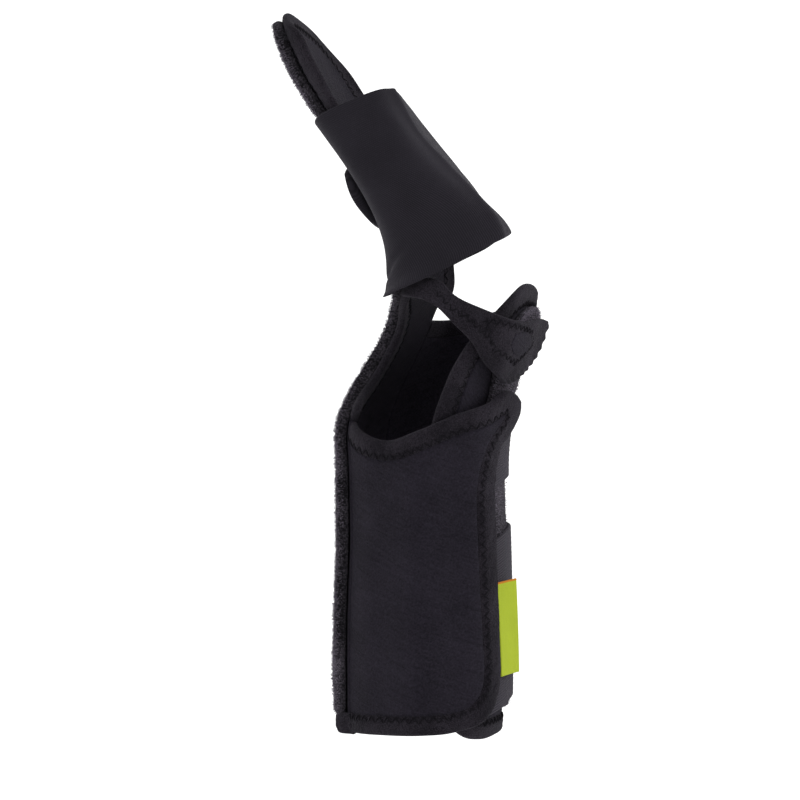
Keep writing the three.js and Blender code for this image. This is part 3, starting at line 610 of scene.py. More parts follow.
def flat(height: float) -> Lift:
    """Returns a lift that is the same all over."""
    return lambda spot: np.full(spot.around.shape, height)


def no_relief(spot: Spot) -> Array:
    """Returns no relief."""
    return np.zeros(spot.around.shape)


def link(name: str, mesh: bpy.types.Mesh) -> bpy.types.Object:
    """Shades a mesh smooth and puts it in the scene. Returns its object, which gets the name."""
    for polygon in mesh.polygons:
        polygon.use_smooth = True
    mesh.update()
    thing = bpy.data.objects.new(name, mesh)
    bpy.context.scene.collection.objects.link(thing)
    return thing


@dataclass
class Sheet:
    """A closed sheet of cloth or foam on a surface, with rounded rims.

    inner and outer are its faces' heights off the surface, relief is added to the outer face, and
    rounding is the radius of its rims in mm. spot, high and normals are there once it is built.
    """

    name: str
    place: Place
    across: int
    up: int
    inner: Lift
    outer: Lift
    relief: Lift = no_relief
    surface: RingSurface = SKIN
    rounding: float = 1.2
    closed: bool = False
    spot: Spot | None = field(default=None, init=False)
    high: Array | None = field(default=None, init=False)
    normals: Array | None = field(default=None, init=False)

    RIM_STEPS = (0.0, 0.05, 0.18, 0.38, 0.68)
    WIDEST_RIM = 0.2
    ROUGH_STEPS = 13

    def _shares(self, count: int, length: float) -> Array:
        """Returns shares with finer steps inside the rounded rims."""
        rim = min(self.rounding / max(length, TINY), self.WIDEST_RIM)
        fine = rim * np.array(self.RIM_STEPS)
        return np.concatenate([fine, np.linspace(rim, 1 - rim, count), (1 - fine)[::-1]])

    def _grid(self, u: Array, v: Array) -> tuple[Spot, Array, Array]:
        """Lays a grid on the surface.

        Args:
            u: shares across the sheet.
            v: shares up the sheet.

        Returns:
            The grid's spots, its points on the surface and the normals there.
        """
        uu, vv = np.meshgrid(u, v)
        places = self.place(uu, vv)
        around, along = places[..., 0], places[..., 1]
        base = self.surface.point(around, along)
        normal = self.surface.normal(around, along)
        blank = np.zeros(around.shape)
        spot = Spot(around, along, uu, vv, blank, blank, blank, blank, blank)
        middle = base + normal * ((self.inner(spot) + self.outer(spot)) / 2)[..., None]
        step_u = np.linalg.norm(np.diff(middle, axis=1), axis=-1)
        step_v = np.linalg.norm(np.diff(middle, axis=0), axis=-1)
        x = np.concatenate([np.zeros((len(v), 1)), np.cumsum(step_u, axis=1)], axis=1)
        y = np.concatenate([np.zeros((1, len(u))), np.cumsum(step_v, axis=0)], axis=0)
        spot.width, spot.height = x[:, -1:] + blank, y[-1:, :] + blank
        spot.edge = np.minimum(y, spot.height - y)
        if not self.closed:
            spot.edge = np.minimum(spot.edge, np.minimum(x, spot.width - x))
        spot.x, spot.y = x, y
        return spot, base, normal

    def build(self) -> bpy.types.Object:
        """Builds the sheet.

        Returns:
            Its object, with a UV map in tenths of a metre.
        """
        rough_shares = np.linspace(0, 1, self.ROUGH_STEPS)
        rough = self._grid(rough_shares, rough_shares)[0]
        u = np.linspace(0, 1, self.across + 1) if self.closed else self._shares(
            self.across, float(np.median(rough.width)))
        v = self._shares(self.up, float(np.median(rough.height)))
        spot, base, normal = self._grid(u, v)
        full = np.sqrt(1 - (1 - np.clip(spot.edge / self.rounding, 0, 1)) ** 2)
        inner, outer = self.inner(spot), self.outer(spot)
        middle, half = (inner + outer) / 2, (outer - inner) / 2
        low = base + normal * (middle - half * full)[..., None]
        high = base + normal * (middle + half * full + self.relief(spot) * full)[..., None]
        self.spot, self.high, self.normals = spot, high, normal
        return self._mesh(low, high, spot)

    def _mesh(self, low: Array, high: Array, spot: Spot) -> bpy.types.Object:
        """Joins both faces along the sheet's edges.

        Args:
            low: points of the inner face.
            high: points of the outer face.
            spot: the grid's spots.

        Returns:
            The sheet's object.
        """
        rows, columns = spot.around.shape
        span = columns - 1 if self.closed else columns
        index_low = np.zeros((rows, span), int)
        index_high = np.arange(rows * span).reshape(rows, span)
        inside = np.ones((rows, span), bool)
        inside[[0, -1], :] = False
        if not self.closed:
            inside[:, [0, -1]] = False
        index_low[inside] = rows * span + np.arange(int(inside.sum()))
        index_low[~inside] = index_high[~inside]
        points = np.vstack([high[:, :span].reshape(-1, 3), low[:, :span][inside]])
        take = lambda table, r, c: table[r, c % span]
        r, c = np.meshgrid(np.arange(rows - 1), np.arange(columns - 1), indexing="ij")
        r, c = r.ravel(), c.ravel()
        up = np.stack([take(index_high, r, c), take(index_high, r, c + 1),
                       take(index_high, r + 1, c + 1), take(index_high, r + 1, c)], axis=1)
        down = np.stack([take(index_low, r, c), take(index_low, r + 1, c),
                         take(index_low, r + 1, c + 1), take(index_low, r, c + 1)], axis=1)
        mesh = bpy.data.meshes.new(self.name)
        mesh.from_pydata((points * MM).tolist(), [], self._faced(up, down).tolist())
        x, y = spot.x * MM / UV_SPAN, spot.y * MM / UV_SPAN
        corner = lambda dr, dc: np.stack([x[r + dr, c + dc], y[r + dr, c + dc]], axis=-1)
        up = np.stack([corner(0, 0), corner(0, 1), corner(1, 1), corner(1, 0)], axis=1)
        down = np.stack([corner(0, 0), corner(1, 0), corner(1, 1), corner(0, 1)], axis=1)
        layer = mesh.uv_layers.new(name="cloth")
        layer.data.foreach_set("uv", self._faced(up, down).astype(np.float32).ravel())
        return link(self.name, mesh)

    def _faced(self, up: Array, down: Array) -> Array:
        """Returns the rows of both faces, turned over where the sheet's own directions are mirrored."""
        probe = self.place(np.array([0.3, 0.7, 0.3]), np.array([0.3, 0.3, 0.7]))
        right, above = probe[1] - probe[0], probe[2] - probe[0]
        if right[0] * above[1] - right[1] * above[0] < 0:
            up, down = up[:, ::-1], down[:, ::-1]
        return np.vstack([up, down])


# Threads and fibres

def tube_mesh(name: str, paths: list[Array], radius: float, sides: int) -> bpy.types.Object:
    """Builds closed tubes round paths.

    Args:
        name: the object's name.
        paths: rows of points in mm, one list for each tube.
        radius: the tubes' radius in mm; their ends are thinner.
        sides: how many sides a tube has.

    Returns:
        One object with all tubes.
    """
    end_share = 0.45
    points, faces = [], []
    base = 0
    angle = np.linspace(0, 2 * math.pi, sides, endpoint=False)
    for path in paths:
        count = len(path)
        travel = unit(np.gradient(path, axis=0))
        helper = np.where(np.abs(travel[:, 2:3]) < 0.9, [[0.0, 0.0, 1.0]], [[1.0, 0.0, 0.0]])
        side = unit(np.cross(travel, helper))
        rise = np.cross(travel, side)
        ends = np.ones(count)
        ends[[0, -1]] = end_share
        ring = (path[:, None] + (side[:, None] * np.cos(angle)[None, :, None]
                + rise[:, None] * np.sin(angle)[None, :, None]) * (radius * ends)[:, None, None])
        points.append(ring.reshape(-1, 3))
        for k in range(count - 1):
            for s in range(sides):
                a, b = base + k * sides + s, base + k * sides + (s + 1) % sides
                faces.append((a, b, b + sides, a + sides))
        faces.append(tuple(base + s for s in range(sides - 1, -1, -1)))
        faces.append(tuple(base + (count - 1) * sides + s for s in range(sides)))
        base += count * sides
    mesh = bpy.data.meshes.new(name)
    mesh.from_pydata((np.vstack(points) * MM).tolist(), [], faces)
    return link(name, mesh)


@dataclass(frozen=True)
class Stitch:
    """A line of zigzag stitches: half width, pitch and thread radius in mm, and 1 outside or -1 inside."""

    half_width: float = 1.35
    pitch: float = 3.7
    radius: float = 0.24
    face: float = 1.0

    SHARES = (0.0, 0.15, 0.5, 0.85, 1.0)
    ARCH = (-0.45, -0.08, 0.06, -0.08, -0.45)

    def paths(self, line: Array, lift: Array) -> list[Array]:
        """Lays the stitches along a line.

        Args:
            line: rows of around and along.
            lift: height off the skin in mm at each row.

        Returns:
            One short path in mm for each leg of the zigzag.
        """
        normal = SKIN.normal(line[:, 0], line[:, 1])
        centre = SKIN.point(line[:, 0], line[:, 1]) + normal * lift[:, None]
        lengths = np.concatenate([[0.0], np.cumsum(np.linalg.norm(np.diff(centre, axis=0), axis=1))])
        count = max(int(lengths[-1] / self.pitch), 2)
        marks = np.linspace(0, lengths[-1], count * 2 + 1)
        pick = lambda values: np.stack([np.interp(marks, lengths, values[:, k]) for k in range(3)], axis=1)
        point, up = pick(centre), pick(normal)
        aside = np.cross(up, unit(np.gradient(point, axis=0)))
        sign = np.where(np.arange(len(marks)) % 2 == 0, 1.0, -1.0)[:, None]
        corner = point + aside * sign * self.half_width
        share, arch = np.array(self.SHARES)[:, None], np.array(self.ARCH)[:, None] * self.face
        return [corner[k] + (corner[k + 1] - corner[k]) * share + up[k] * arch for k in range(len(marks) - 1)]


@dataclass(frozen=True)
class Fuzz:
    """Loose fibres that stand off a sheet: how many, length and radius in mm, and how far they lie over."""

    count: int
    length: float
    radius: float
    lean: float
    seed: int

    SHORTEST = 0.35
    HALF = 0.55
    ROOT = 0.15
    CURL = 0.4

    def paths(self, sheet: Sheet, weight: Callable[[Spot], Array]) -> list[Array]:
        """Grows curved fibres.

        Args:
            sheet: a built sheet; the fibres start on its outer face.
            weight: how thick they stand at each spot.

        Returns:
            One path in mm for each fibre.
        """
        rng = np.random.default_rng(self.seed)
        share = np.clip(weight(sheet.spot), 0, None)
        steps = np.abs(np.gradient(sheet.spot.x, axis=1)) * np.abs(np.gradient(sheet.spot.y, axis=0))
        chance = (share * steps).ravel()
        chosen = rng.choice(chance.size, self.count, p=chance / chance.sum())
        row, column = np.unravel_index(chosen, share.shape)
        row = np.clip(row, 1, share.shape[0] - 2)
        column = np.clip(column, 1, share.shape[1] - 2)
        start = sheet.high[row, column]
        right = sheet.high[row, column + 1] - start
        above = sheet.high[row + 1, column] - start
        start = start + right * rng.random((self.count, 1)) + above * rng.random((self.count, 1))
        up = sheet.normals[row, column]
        result = []
        for k in range(self.count):
            bend = rng.normal(size=3) * self.lean
            tip = rng.normal(size=3) * self.lean
            length = self.length * rng.uniform(self.SHORTEST, 1.0)
            middle = start[k] + unit(up[k] + bend) * length * self.HALF
            end = middle + unit(up[k] * self.CURL + bend + tip) * length * self.HALF
            result.append(np.array([start[k] - up[k] * self.ROOT, middle, end]))
        return result


# Materials

class Weave(Enum):
    """The kinds of surface the splint shows."""

    KNIT = "knit"
    BRUSHED = "brushed"
    PILE = "pile"
    ELASTIC = "elastic"
    RIB = "rib"
    THREAD = "thread"
    LABEL = "label"


Tone = tuple[float, float, float]


@dataclass(frozen=True)
class Finish:
    """One cloth: its darker and lighter tone, pitch of its weave in mm, relief in mm, and sheen."""

    name: str
    weave: Weave
    dark: Tone
    light: Tone
    pitch: float
    relief: float
    roughness: float
    sheen: float


FINISHES = {finish.name: finish for finish in (
    Finish("foam_cloth", Weave.KNIT, (0.0066, 0.0056, 0.0087), (0.0220, 0.0188, 0.0278),
           0.60, 0.60, 0.85, 0.03),
    Finish("brushed_tape", Weave.BRUSHED, (0.0046, 0.0039, 0.0055), (0.0350, 0.0300, 0.0388),
           0.55, 0.34, 0.95, 0.05),
    Finish("pile", Weave.PILE, (0.0034, 0.0031, 0.0040), (0.0860, 0.0765, 0.0930), 0.80, 0.75, 0.95, 0.06),
    Finish("elastic", Weave.ELASTIC, (0.0105, 0.0092, 0.0120), (0.0290, 0.0260, 0.0335),
           0.95, 0.28, 0.80, 0.04),
    Finish("sleeve_cloth", Weave.RIB, (0.0072, 0.0064, 0.0086), (0.0162, 0.0145, 0.0192),
           0.66, 0.10, 0.80, 0.06),
    # The thread's tones are far darker than the cloth it is sewn into: painted shade of the grooves that the
    # stitches pull into the cloth.
    Finish("thread", Weave.THREAD, (0.0022, 0.0020, 0.0028), (0.0060, 0.0052, 0.0072),
           0.25, 0.05, 0.85, 0.02),
    Finish("fibre", Weave.THREAD, (0.044, 0.038, 0.050), (0.185, 0.163, 0.203), 0.3, 0.02, 0.85, 0.10),
    Finish("label", Weave.LABEL, (0.235, 0.292, 0.018), (0.300, 0.365, 0.024), 0.40, 0.10, 0.75, 0.02),
    Finish("label_edge", Weave.THREAD, (0.33, 0.11, 0.01), (0.42, 0.17, 0.015), 0.4, 0.05, 0.8, 0.02),
)}


class NodeSheet:
    """Short calls that add and join shader nodes in one tree."""

    def __init__(self, tree: bpy.types.NodeTree) -> None:
        """Keeps the tree that the nodes go in."""
        self.tree = tree

    def add(self, kind: str, **settings: object) -> bpy.types.Node:
        """Adds a node. Returns it."""
        node = self.tree.nodes.new(kind)
        for key, value in settings.items():
            setattr(node, key, value)
        return node

    def join(self, source: bpy.types.NodeSocket, target: bpy.types.NodeSocket) -> None:
        """Joins two sockets."""
        self.tree.links.new(source, target)

    def math(self, operation: str, *values: object) -> bpy.types.NodeSocket:
        """Adds a math node on sockets or numbers. Returns its output."""
        node = self.add("ShaderNodeMath", operation=operation)
        for index, value in enumerate(values):
            if isinstance(value, (int, float)):
                node.inputs[index].default_value = value
            else:
                self.join(value, node.inputs[index])
        return node.outputs[0]

    def noise(self, vector: bpy.types.NodeSocket, scale: float, detail: float) -> bpy.types.NodeSocket:
        """Adds a noise texture on a vector. Returns its output."""
        node = self.add("ShaderNodeTexNoise")
        node.inputs["Scale"].default_value = scale
        node.inputs["Detail"].default_value = detail
        self.join(vector, node.inputs["Vector"])
        return node.outputs["Fac"]


class WeaveNodes:
    """The node group of one weave, with Pitch in and Height and Tone out; Tone is partly painted shade that
    darkens the weave's hollows.
    """

    STRETCH_LEAN = 0.42
    STRETCH_ACROSS, STRETCH_ALONG = 88.0, 6.5
    LOOPS_PER_PITCH = {Weave.PILE: 1000.0, Weave.BRUSHED: 1300.0}
    BROAD_SCALE = 55.0

    def __init__(self, weave: Weave) -> None:
        """Makes the group with its sockets and coordinates."""
        self.weave = weave
        self.group = bpy.data.node_groups.new(f"weave_{weave.value}", "ShaderNodeTree")
        pitch = self.group.interface.new_socket(name="Pitch", in_out="INPUT", socket_type="NodeSocketFloat")
        pitch.default_value = 0.6
        for name in ("Height", "Tone"):
            self.group.interface.new_socket(name=name, in_out="OUTPUT", socket_type="NodeSocketFloat")
        nodes = self.nodes = NodeSheet(self.group)
        self.entry, self.leave = nodes.add("NodeGroupInput"), nodes.add("NodeGroupOutput")
        self.place = nodes.add("ShaderNodeTexCoord").outputs["Object"]
        self.split = nodes.add("ShaderNodeSeparateXYZ")
        nodes.join(nodes.add("ShaderNodeUVMap", uv_map="cloth").outputs[0], self.split.inputs[0])

    def build(self) -> bpy.types.NodeTree:
        """Adds the weave's own nodes. Returns the group."""
        nodes, knit = self.nodes, self.weave is Weave.KNIT
        turns = nodes.math("DIVIDE", 2 * math.pi * UV_SPAN / MM, self.entry.outputs["Pitch"])
        x = nodes.math("MULTIPLY", self.split.outputs[0], turns)
        y = nodes.math("MULTIPLY", self.split.outputs[1], turns)
        fine = nodes.noise(self.place, 1500.0 if knit else 2600.0, 4.0)
        broad = nodes.noise(self.place, self.BROAD_SCALE, 4.0)
        make = {Weave.RIB: self._ribbed, Weave.ELASTIC: self._elastic, Weave.PILE: self._looped,
                Weave.BRUSHED: self._looped}.get(self.weave, self._knitted)
        height = make(x, y, fine)
        # Tone is partly random broad noise and partly painted shade: it follows the height, so hollows, rib
        # valleys and wrinkle creases are darker.
        if knit:
            lines = self._stretch_lines()
            height = nodes.math("MULTIPLY_ADD", lines, 3.0, height)
            tone = nodes.math("MULTIPLY_ADD", lines, 0.35, nodes.math(
                "MULTIPLY_ADD", fine, 1.0, nodes.math("MULTIPLY_ADD", broad, 0.5, -0.42)))
        else:
            tone = nodes.math("MULTIPLY_ADD", height, 0.45, nodes.math("MULTIPLY", broad, 0.6))
        nodes.join(height, self.leave.inputs["Height"])
        nodes.join(tone, self.leave.inputs["Tone"])
        return self.group

    def _stretch_lines(self) -> bpy.types.NodeSocket:
        """Returns fine slanting wrinkles, as where the cloth is pulled to its binding."""
        nodes, lean = self.nodes, self.STRETCH_LEAN
        steep = nodes.math("MULTIPLY_ADD", self.split.outputs[0], lean, self.split.outputs[1])
        level = nodes.math("MULTIPLY_ADD", self.split.outputs[1], -lean, self.split.outputs[0])
        turned = nodes.add("ShaderNodeCombineXYZ")
        nodes.join(nodes.math("MULTIPLY", steep, self.STRETCH_ACROSS), turned.inputs[0])
        nodes.join(nodes.math("MULTIPLY", level, self.STRETCH_ALONG), turned.inputs[1])
        return nodes.noise(turned.outputs[0], 1.0, 2.0)

    def _knitted(self, x: bpy.types.NodeSocket, y: bpy.types.NodeSocket,
                 fine: bpy.types.NodeSocket) -> bpy.types.NodeSocket:
        """Adds small stitches in rows.

        Args:
            x: turns across the cloth.
            y: turns up the cloth.
            fine: fine noise.

        Returns:
            The height.
        """
        nodes = self.nodes
        wale = nodes.math("SINE", x)
        course = nodes.math("SINE", nodes.math("ADD", nodes.math("MULTIPLY", y, 1.35),
                                               nodes.math("ABSOLUTE", wale)))
        return nodes.math("MULTIPLY_ADD", nodes.math("MULTIPLY", wale, course), 0.35, fine)

    def _ribbed(self, x: bpy.types.NodeSocket, y: bpy.types.NodeSocket,
                fine: bpy.types.NodeSocket) -> bpy.types.NodeSocket:
        """Adds slanting ribs. Returns the height; the arguments are as in _knitted."""
        nodes = self.nodes
        ribs = nodes.math("SINE", nodes.math("ADD", nodes.math("MULTIPLY", y, 0.59),
                                             nodes.math("MULTIPLY", x, 0.80)))
        rows = nodes.math("SINE", nodes.math("SUBTRACT", nodes.math("MULTIPLY", y, 1.1), x))
        return nodes.math("ADD", nodes.math("MULTIPLY", ribs, 0.5),
                          nodes.math("MULTIPLY_ADD", rows, 0.12, nodes.math("MULTIPLY", fine, 0.7)))

    def _elastic(self, x: bpy.types.NodeSocket, y: bpy.types.NodeSocket,
                 fine: bpy.types.NodeSocket) -> bpy.types.NodeSocket:
        """Adds woven elastic. Returns the height; the arguments are as in _knitted."""
        nodes = self.nodes
        ribs = nodes.math("ABSOLUTE", nodes.math("SINE", nodes.math("MULTIPLY", y, 0.5)))
        picks = nodes.math("SINE", nodes.math("MULTIPLY", x, 1.6))
        return nodes.math("ADD", ribs, nodes.math("MULTIPLY_ADD", nodes.math("MULTIPLY", picks, ribs), 0.3,
                                                  nodes.math("MULTIPLY", fine, 0.35)))

    def _looped(self, x: bpy.types.NodeSocket, y: bpy.types.NodeSocket,
                fine: bpy.types.NodeSocket) -> bpy.types.NodeSocket:
        """Adds loops or brushed nap. Returns the height; x and y are only there to match the others."""
        nodes = self.nodes
        loops = nodes.add("ShaderNodeTexVoronoi", feature="F1")
        nodes.join(self.place, loops.inputs["Vector"])
        nodes.join(nodes.math("DIVIDE", self.LOOPS_PER_PITCH[self.weave], self.entry.outputs["Pitch"]),
                   loops.inputs["Scale"])
        return nodes.math("MULTIPLY_ADD", loops.outputs["Distance"], -0.8, fine)


def weave_group(weave: Weave) -> bpy.types.NodeTree:
    """Returns the node group of a weave, made once."""
    return bpy.data.node_groups.get(f"weave_{weave.value}") or WeaveNodes(weave).build()


def make_material(finish: Finish) -> bpy.types.Material:
    """Makes the procedural material of one cloth.

    Args:
        finish: its tones, weave and sheen.

    Returns:
        The material.
    """
    material = bpy.data.materials.new(finish.name)
    material.use_nodes = True
    tree = material.node_tree
    tree.nodes.clear()
    nodes = NodeSheet(tree)
    out = nodes.add("ShaderNodeOutputMaterial")
    shader = nodes.add("ShaderNodeBsdfPrincipled")
    group = nodes.add("ShaderNodeGroup", node_tree=weave_group(finish.weave))
    group.inputs["Pitch"].default_value = finish.pitch
    # The ramp's tone is partly painted shade of the weave's hollows, from the group's Tone.
    ramp = nodes.add("ShaderNodeValToRGB")
    for element, at, tone in zip(ramp.color_ramp.elements, (0.25, 0.80), (finish.dark, finish.light)):
        element.position, element.color = at, (*tone, 1)
    bump = nodes.add("ShaderNodeBump")
    bump.inputs["Strength"].default_value = 0.9
    bump.inputs["Distance"].default_value = finish.relief * MM
    nodes.join(group.outputs["Tone"], ramp.inputs["Fac"])
    nodes.join(ramp.outputs["Color"], shader.inputs["Base Color"])
    nodes.join(group.outputs["Height"], bump.inputs["Height"])
    nodes.join(bump.outputs["Normal"], shader.inputs["Normal"])
    for socket, value in (("Roughness", finish.roughness), ("Specular IOR Level", 0.06),
                          ("Sheen Weight", finish.sheen), ("Sheen Roughness", 0.45),
                          ("Sheen Tint", (0.72, 0.68, 0.80, 1))):
        shader.inputs[socket].default_value = value
    nodes.join(shader.outputs["BSDF"], out.inputs["Surface"])
    return material


# Pieces

@dataclass
class Builder:
    """Shared work of the sub-assemblies: finishing and riding their pieces."""

    materials: dict[str, bpy.types.Material]

    PADDED_FILL = 0.9
    THREAD_SIDES, FIBRE_SIDES = 5, 3

    def settle(self, thing: bpy.types.Object, finish: str, node: str | None = None) -> None:
        """Gives a piece its material and body, and hides the CAD node it stands for.

        Args:
            thing: the piece.
            finish: name of its finish.
            node: name of the CAD node, if it stands for one.
        """
        thing.data.materials.append(self.materials[finish])
        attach(thing, "root")
        if node:
            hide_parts(node)

    def sheet(self, sheet: Sheet, finish: str, slot: str, soft: str = "sheet",
              held: str = "stretched") -> Sheet:
        """Args:
            sheet: the sheet.
            finish: name of its finish.
            slot: not used.
            soft: "sheet" for thin cloth or "padded" for foam.
            held: not used.

        Returns:
            The built sheet.
        """
        thing = sheet.build()
        self.settle(thing, finish, sheet.name)
        if soft == "padded":
            return sheet
        return sheet

    def trim(self, sheet: Sheet, finish: str, slot: str) -> None:
        """Builds a small padded piece that stands for no CAD node.

        Args:
            sheet: the sheet.
            finish: name of its finish.
            slot: not used.
        """
        thing = sheet.build()
        self.settle(thing, finish)

    def stitches(self, name: str, stitch: Stitch, lines: list[tuple[Array, Array]]) -> None:
        """Adds zigzag stitching.

        Args:
            name: the piece's name.
            stitch: its stitch.
            lines: rows of around and along, with their lifts in mm.
        """
        paths = [path for line, lift in lines for path in stitch.paths(line, lift)]
        # The thread finish is painted dark, standing in for the shade in the stitch grooves.
        self.settle(tube_mesh(name, paths, stitch.radius, self.THREAD_SIDES), "thread")

    def fuzz(self, name: str, fuzz: Fuzz, sheet: Sheet, weight: Callable[[Spot], Array]) -> None:
        """Adds loose fibres.

        Args:
            name: the piece's name.
            fuzz: the fibres.
            sheet: the built sheet that they grow on.
            weight: how thick they stand at each spot.
        """
        thing = tube_mesh(name, fuzz.paths(sheet, weight), fuzz.radius, self.FIBRE_SIDES)
        self.settle(thing, "fibre")


STITCH_OUT, STITCH_RISE = 1.1, 0.45
STITCH_PITCH = Stitch().pitch


def binding_relief(seed: int) -> Lift:
    """Makes the relief of a stitched binding: puckers between stitches, a full middle and small waves.

    Args:
        seed: seed of the waves.

    Returns:
        The relief.
    """
    wave = Noise(seed)

    def relief(spot: Spot) -> Array:
        """Returns the relief in mm."""
        across = spot.y
        pucker = 0.30 * np.abs(np.sin(np.pi * spot.x / STITCH_PITCH)) * bell(across, 2.2, 1.6)
        puff = 0.40 * np.sin(np.pi * np.clip(spot.v, 0, 1)) - 0.40 * bell(across, 1.2, 1.2)
        waves = 0.14 * wave(spot.x / 2.4, across / 1.8) + 0.10 * wave(spot.x / 0.9, across / 0.9)
        return puff + pucker + waves
    return relief


def binding_line(edge: FreeEdge, rows: tuple[float, float], samples: int = 900) -> Array:
    """Draws the stitching line beside a panel's edge.

    Args:
        edge: the edge.
        rows: its first and last row with stitches.
        samples: how many places the line has.

    Returns:
        Rows of around and along.
    """
    t = edge.inner.t_of(np.linspace(0, 1, samples), rows[0] / edge.last, rows[1] / edge.last)
    return edge.seam(t, STITCH_OUT)


def lift_on(lift: Lift, line: Array) -> Array:
    """Returns a lift's values along a line of places."""
    blank = np.zeros(len(line))
    return lift(Spot(line[:, 0], line[:, 1], blank, blank, blank, blank, blank, blank, blank))


@dataclass
class Palm(Builder):
    """The palmar panel with its tongue, binding, stay pocket and hem."""

    binding_rows: tuple[float, float] = (3.9, 25.6)
    inner_stitch_lift: float = -0.12
    pocket_rounding: float = 1.8
    pocket_fuzz: Fuzz = Fuzz(9500, 1.3, 0.085, 0.60, 21)
    hem_around: tuple[float, float] = (-0.126, 0.122)
    hem_along: tuple[float, float] = (0.0125, 0.0395)

    def build(self) -> None:
        """Builds the pieces."""
        self._panel()
        self._binding()
        self._pocket()
        self._hem()

    def _panel(self) -> None:
        """Builds the panel with its tongue."""
        wave = Noise(11)
        relief = lambda spot: 0.25 * wave(spot.x / 9, spot.y / 14) * smooth(spot.edge, (0.5, 5.0))
        second, third = PALMAR.stretch(1), PALMAR.stretch(2)
        place = fill_edges(straight(PALMAR_EDGE[-1], PALMAR_EDGE[0]), lambda u: second(1 - u),
                           lambda v: third(1 - v), PALMAR.stretch(0))
        self.sheet(Sheet("palmar_panel", place, 46, 200, flat(0), flat(PANEL_TOP), relief),
                   "foam_cloth", "foam_cloth", "padded")

    def _binding(self) -> None:
        """Builds the binding and its stitches on both sides."""
        self.sheet(Sheet("tongue_binding", PALMAR.binding(*self.binding_rows), 460, 8, flat(0),
                         flat(WALLS.binding), binding_relief(12)), "brushed_tape", "foam_cloth", "padded")
        line = binding_line(PALMAR, self.binding_rows)
        for name, face, lift in (("tongue_inner_stitching", -1.0, self.inner_stitch_lift),
                                 ("tongue_stitching", 1.0, WALLS.binding + STITCH_RISE)):
            self.stitches(name, Stitch(face=face), [(line, np.full(len(line), lift))])

    def _pocket(self) -> None:
        """Builds the pile pocket and its fibres."""
        thumb, top, outer_edge = (ClothCurve(rows) for rows in (POCKET_THUMB, POCKET_TOP_EDGE, POCKET_OUTER))
        wave = Noise(13)

        def outer(spot: Spot) -> Array:
            """Returns the pocket's outer face, thinner at its rims and under the sleeve."""
            side = np.maximum(np.sin(np.pi * spot.u), 0) ** 0.35
            end = np.maximum(np.sin(np.pi * spot.v), 0) ** 0.12
            squeezed = under_sleeve(spot.along)
            return OVER_PANEL + pocket_wall(spot.along) * lerp(lerp(0.90, 0.64, squeezed), 1, side * end)

        relief = lambda spot: (1 - under_sleeve(spot.along)) * (
            0.22 * wave(spot.x / 1.3, spot.y / 1.3) + 0.25 * wave(spot.x / 6, spot.y / 6))
        place = fill_edges(straight(POCKET_OUTER[0], POCKET_THUMB[0]), top.even, outer_edge.even, thumb.even)
        pocket = self.sheet(Sheet("palmar_pocket", place, 60, 260, flat(OVER_PANEL), outer, relief,
                                  rounding=self.pocket_rounding), "pile", "pile_cloth", "padded")
        weight = lambda spot: (1 - under_sleeve(spot.along)) * (0.25 + smooth(spot.u, (0.80, 0.97)))
        self.fuzz("palmar_pocket_fibres", self.pocket_fuzz, pocket, weight)

    def _hem(self) -> None:
        """Builds the hem over the pocket's lower end, which runs into the flap's binding."""
        place = lambda u, v: np.stack([lerp(*self.hem_around, u), lerp(*self.hem_along, v)], axis=-1)
        inner = lambda spot: PANEL_TOP - 1.0 * smooth(spot.around, (0.088, 0.112))
        outer = lambda spot: lerp(OVER_PANEL + WALLS.hem + 0.3, WALLS.binding + 0.15,
                                  smooth(spot.around, (0.084, 0.118)))
        self.sheet(Sheet("palmar_hem", place, 110, 12, inner, outer, binding_relief(14)),
                   "brushed_tape", "foam_cloth", "padded")


def flap_inner(spot: Spot) -> Array:
    """Returns how high the flap's inner face stands."""
    climb = ON_WING * smooth(spot.around, (0.19, 0.285)) + (OVER_STRAP - ON_WING) * smooth(
        spot.around, (0.325, 0.385))
    return climb + 1.8 * smooth(spot.around, (0.40, 0.48)) * smooth(spot.along, (0.39, 0.43))


@dataclass
class Flap(Builder):
    """The radial flap and its stitched binding."""

    stitch_rise: float = 0.50
    line_pitch: float = 3.4
    line_height: float = 0.16

    def build(self) -> None:
        """Builds the pieces."""
        first, second, third = FLAP.stretch(0), FLAP.stretch(1), FLAP.stretch(2)
        wave = Noise(31)
        outer = lambda spot: flap_inner(spot) + WALLS.flap

        def relief(spot: Spot) -> Array:
            """Returns slanting stretch lines near the binding, soft waves and a dip along the seam."""
            inside = smooth(spot.edge, (0.4, 4.0))
            slope = spot.x * 0.55 + spot.y
            lines = self.line_height * wave(slope / self.line_pitch, (spot.y - spot.x) / 26) * smooth(
                spot.around, (0.30, 0.37))
            return inside * (lines + 0.22 * wave(spot.x / 12, spot.y / 26)) - 0.25 * bell(spot.edge, 0.0, 1.2)

        place = fill_edges(lambda u: third(1 - u), first, straight(FLAP_EDGE[-1], FLAP_EDGE[0]),
                           lambda v: second(1 - v))
        self.sheet(Sheet("radial_flap", place, 110, 130, flap_inner, outer, relief),
                   "foam_cloth", "foam_cloth", "padded")
        rows = (0.0, float(FLAP.last))
        self.sheet(Sheet("radial_flap_binding", FLAP.binding(*rows), 520, 9, flap_inner, outer,
                         binding_relief(32)), "brushed_tape", "foam_cloth", "padded")
        line = binding_line(FLAP, rows)
        self.stitches("flap_stitching", Stitch(), [(line, lift_on(outer, line) + self.stitch_rise)])


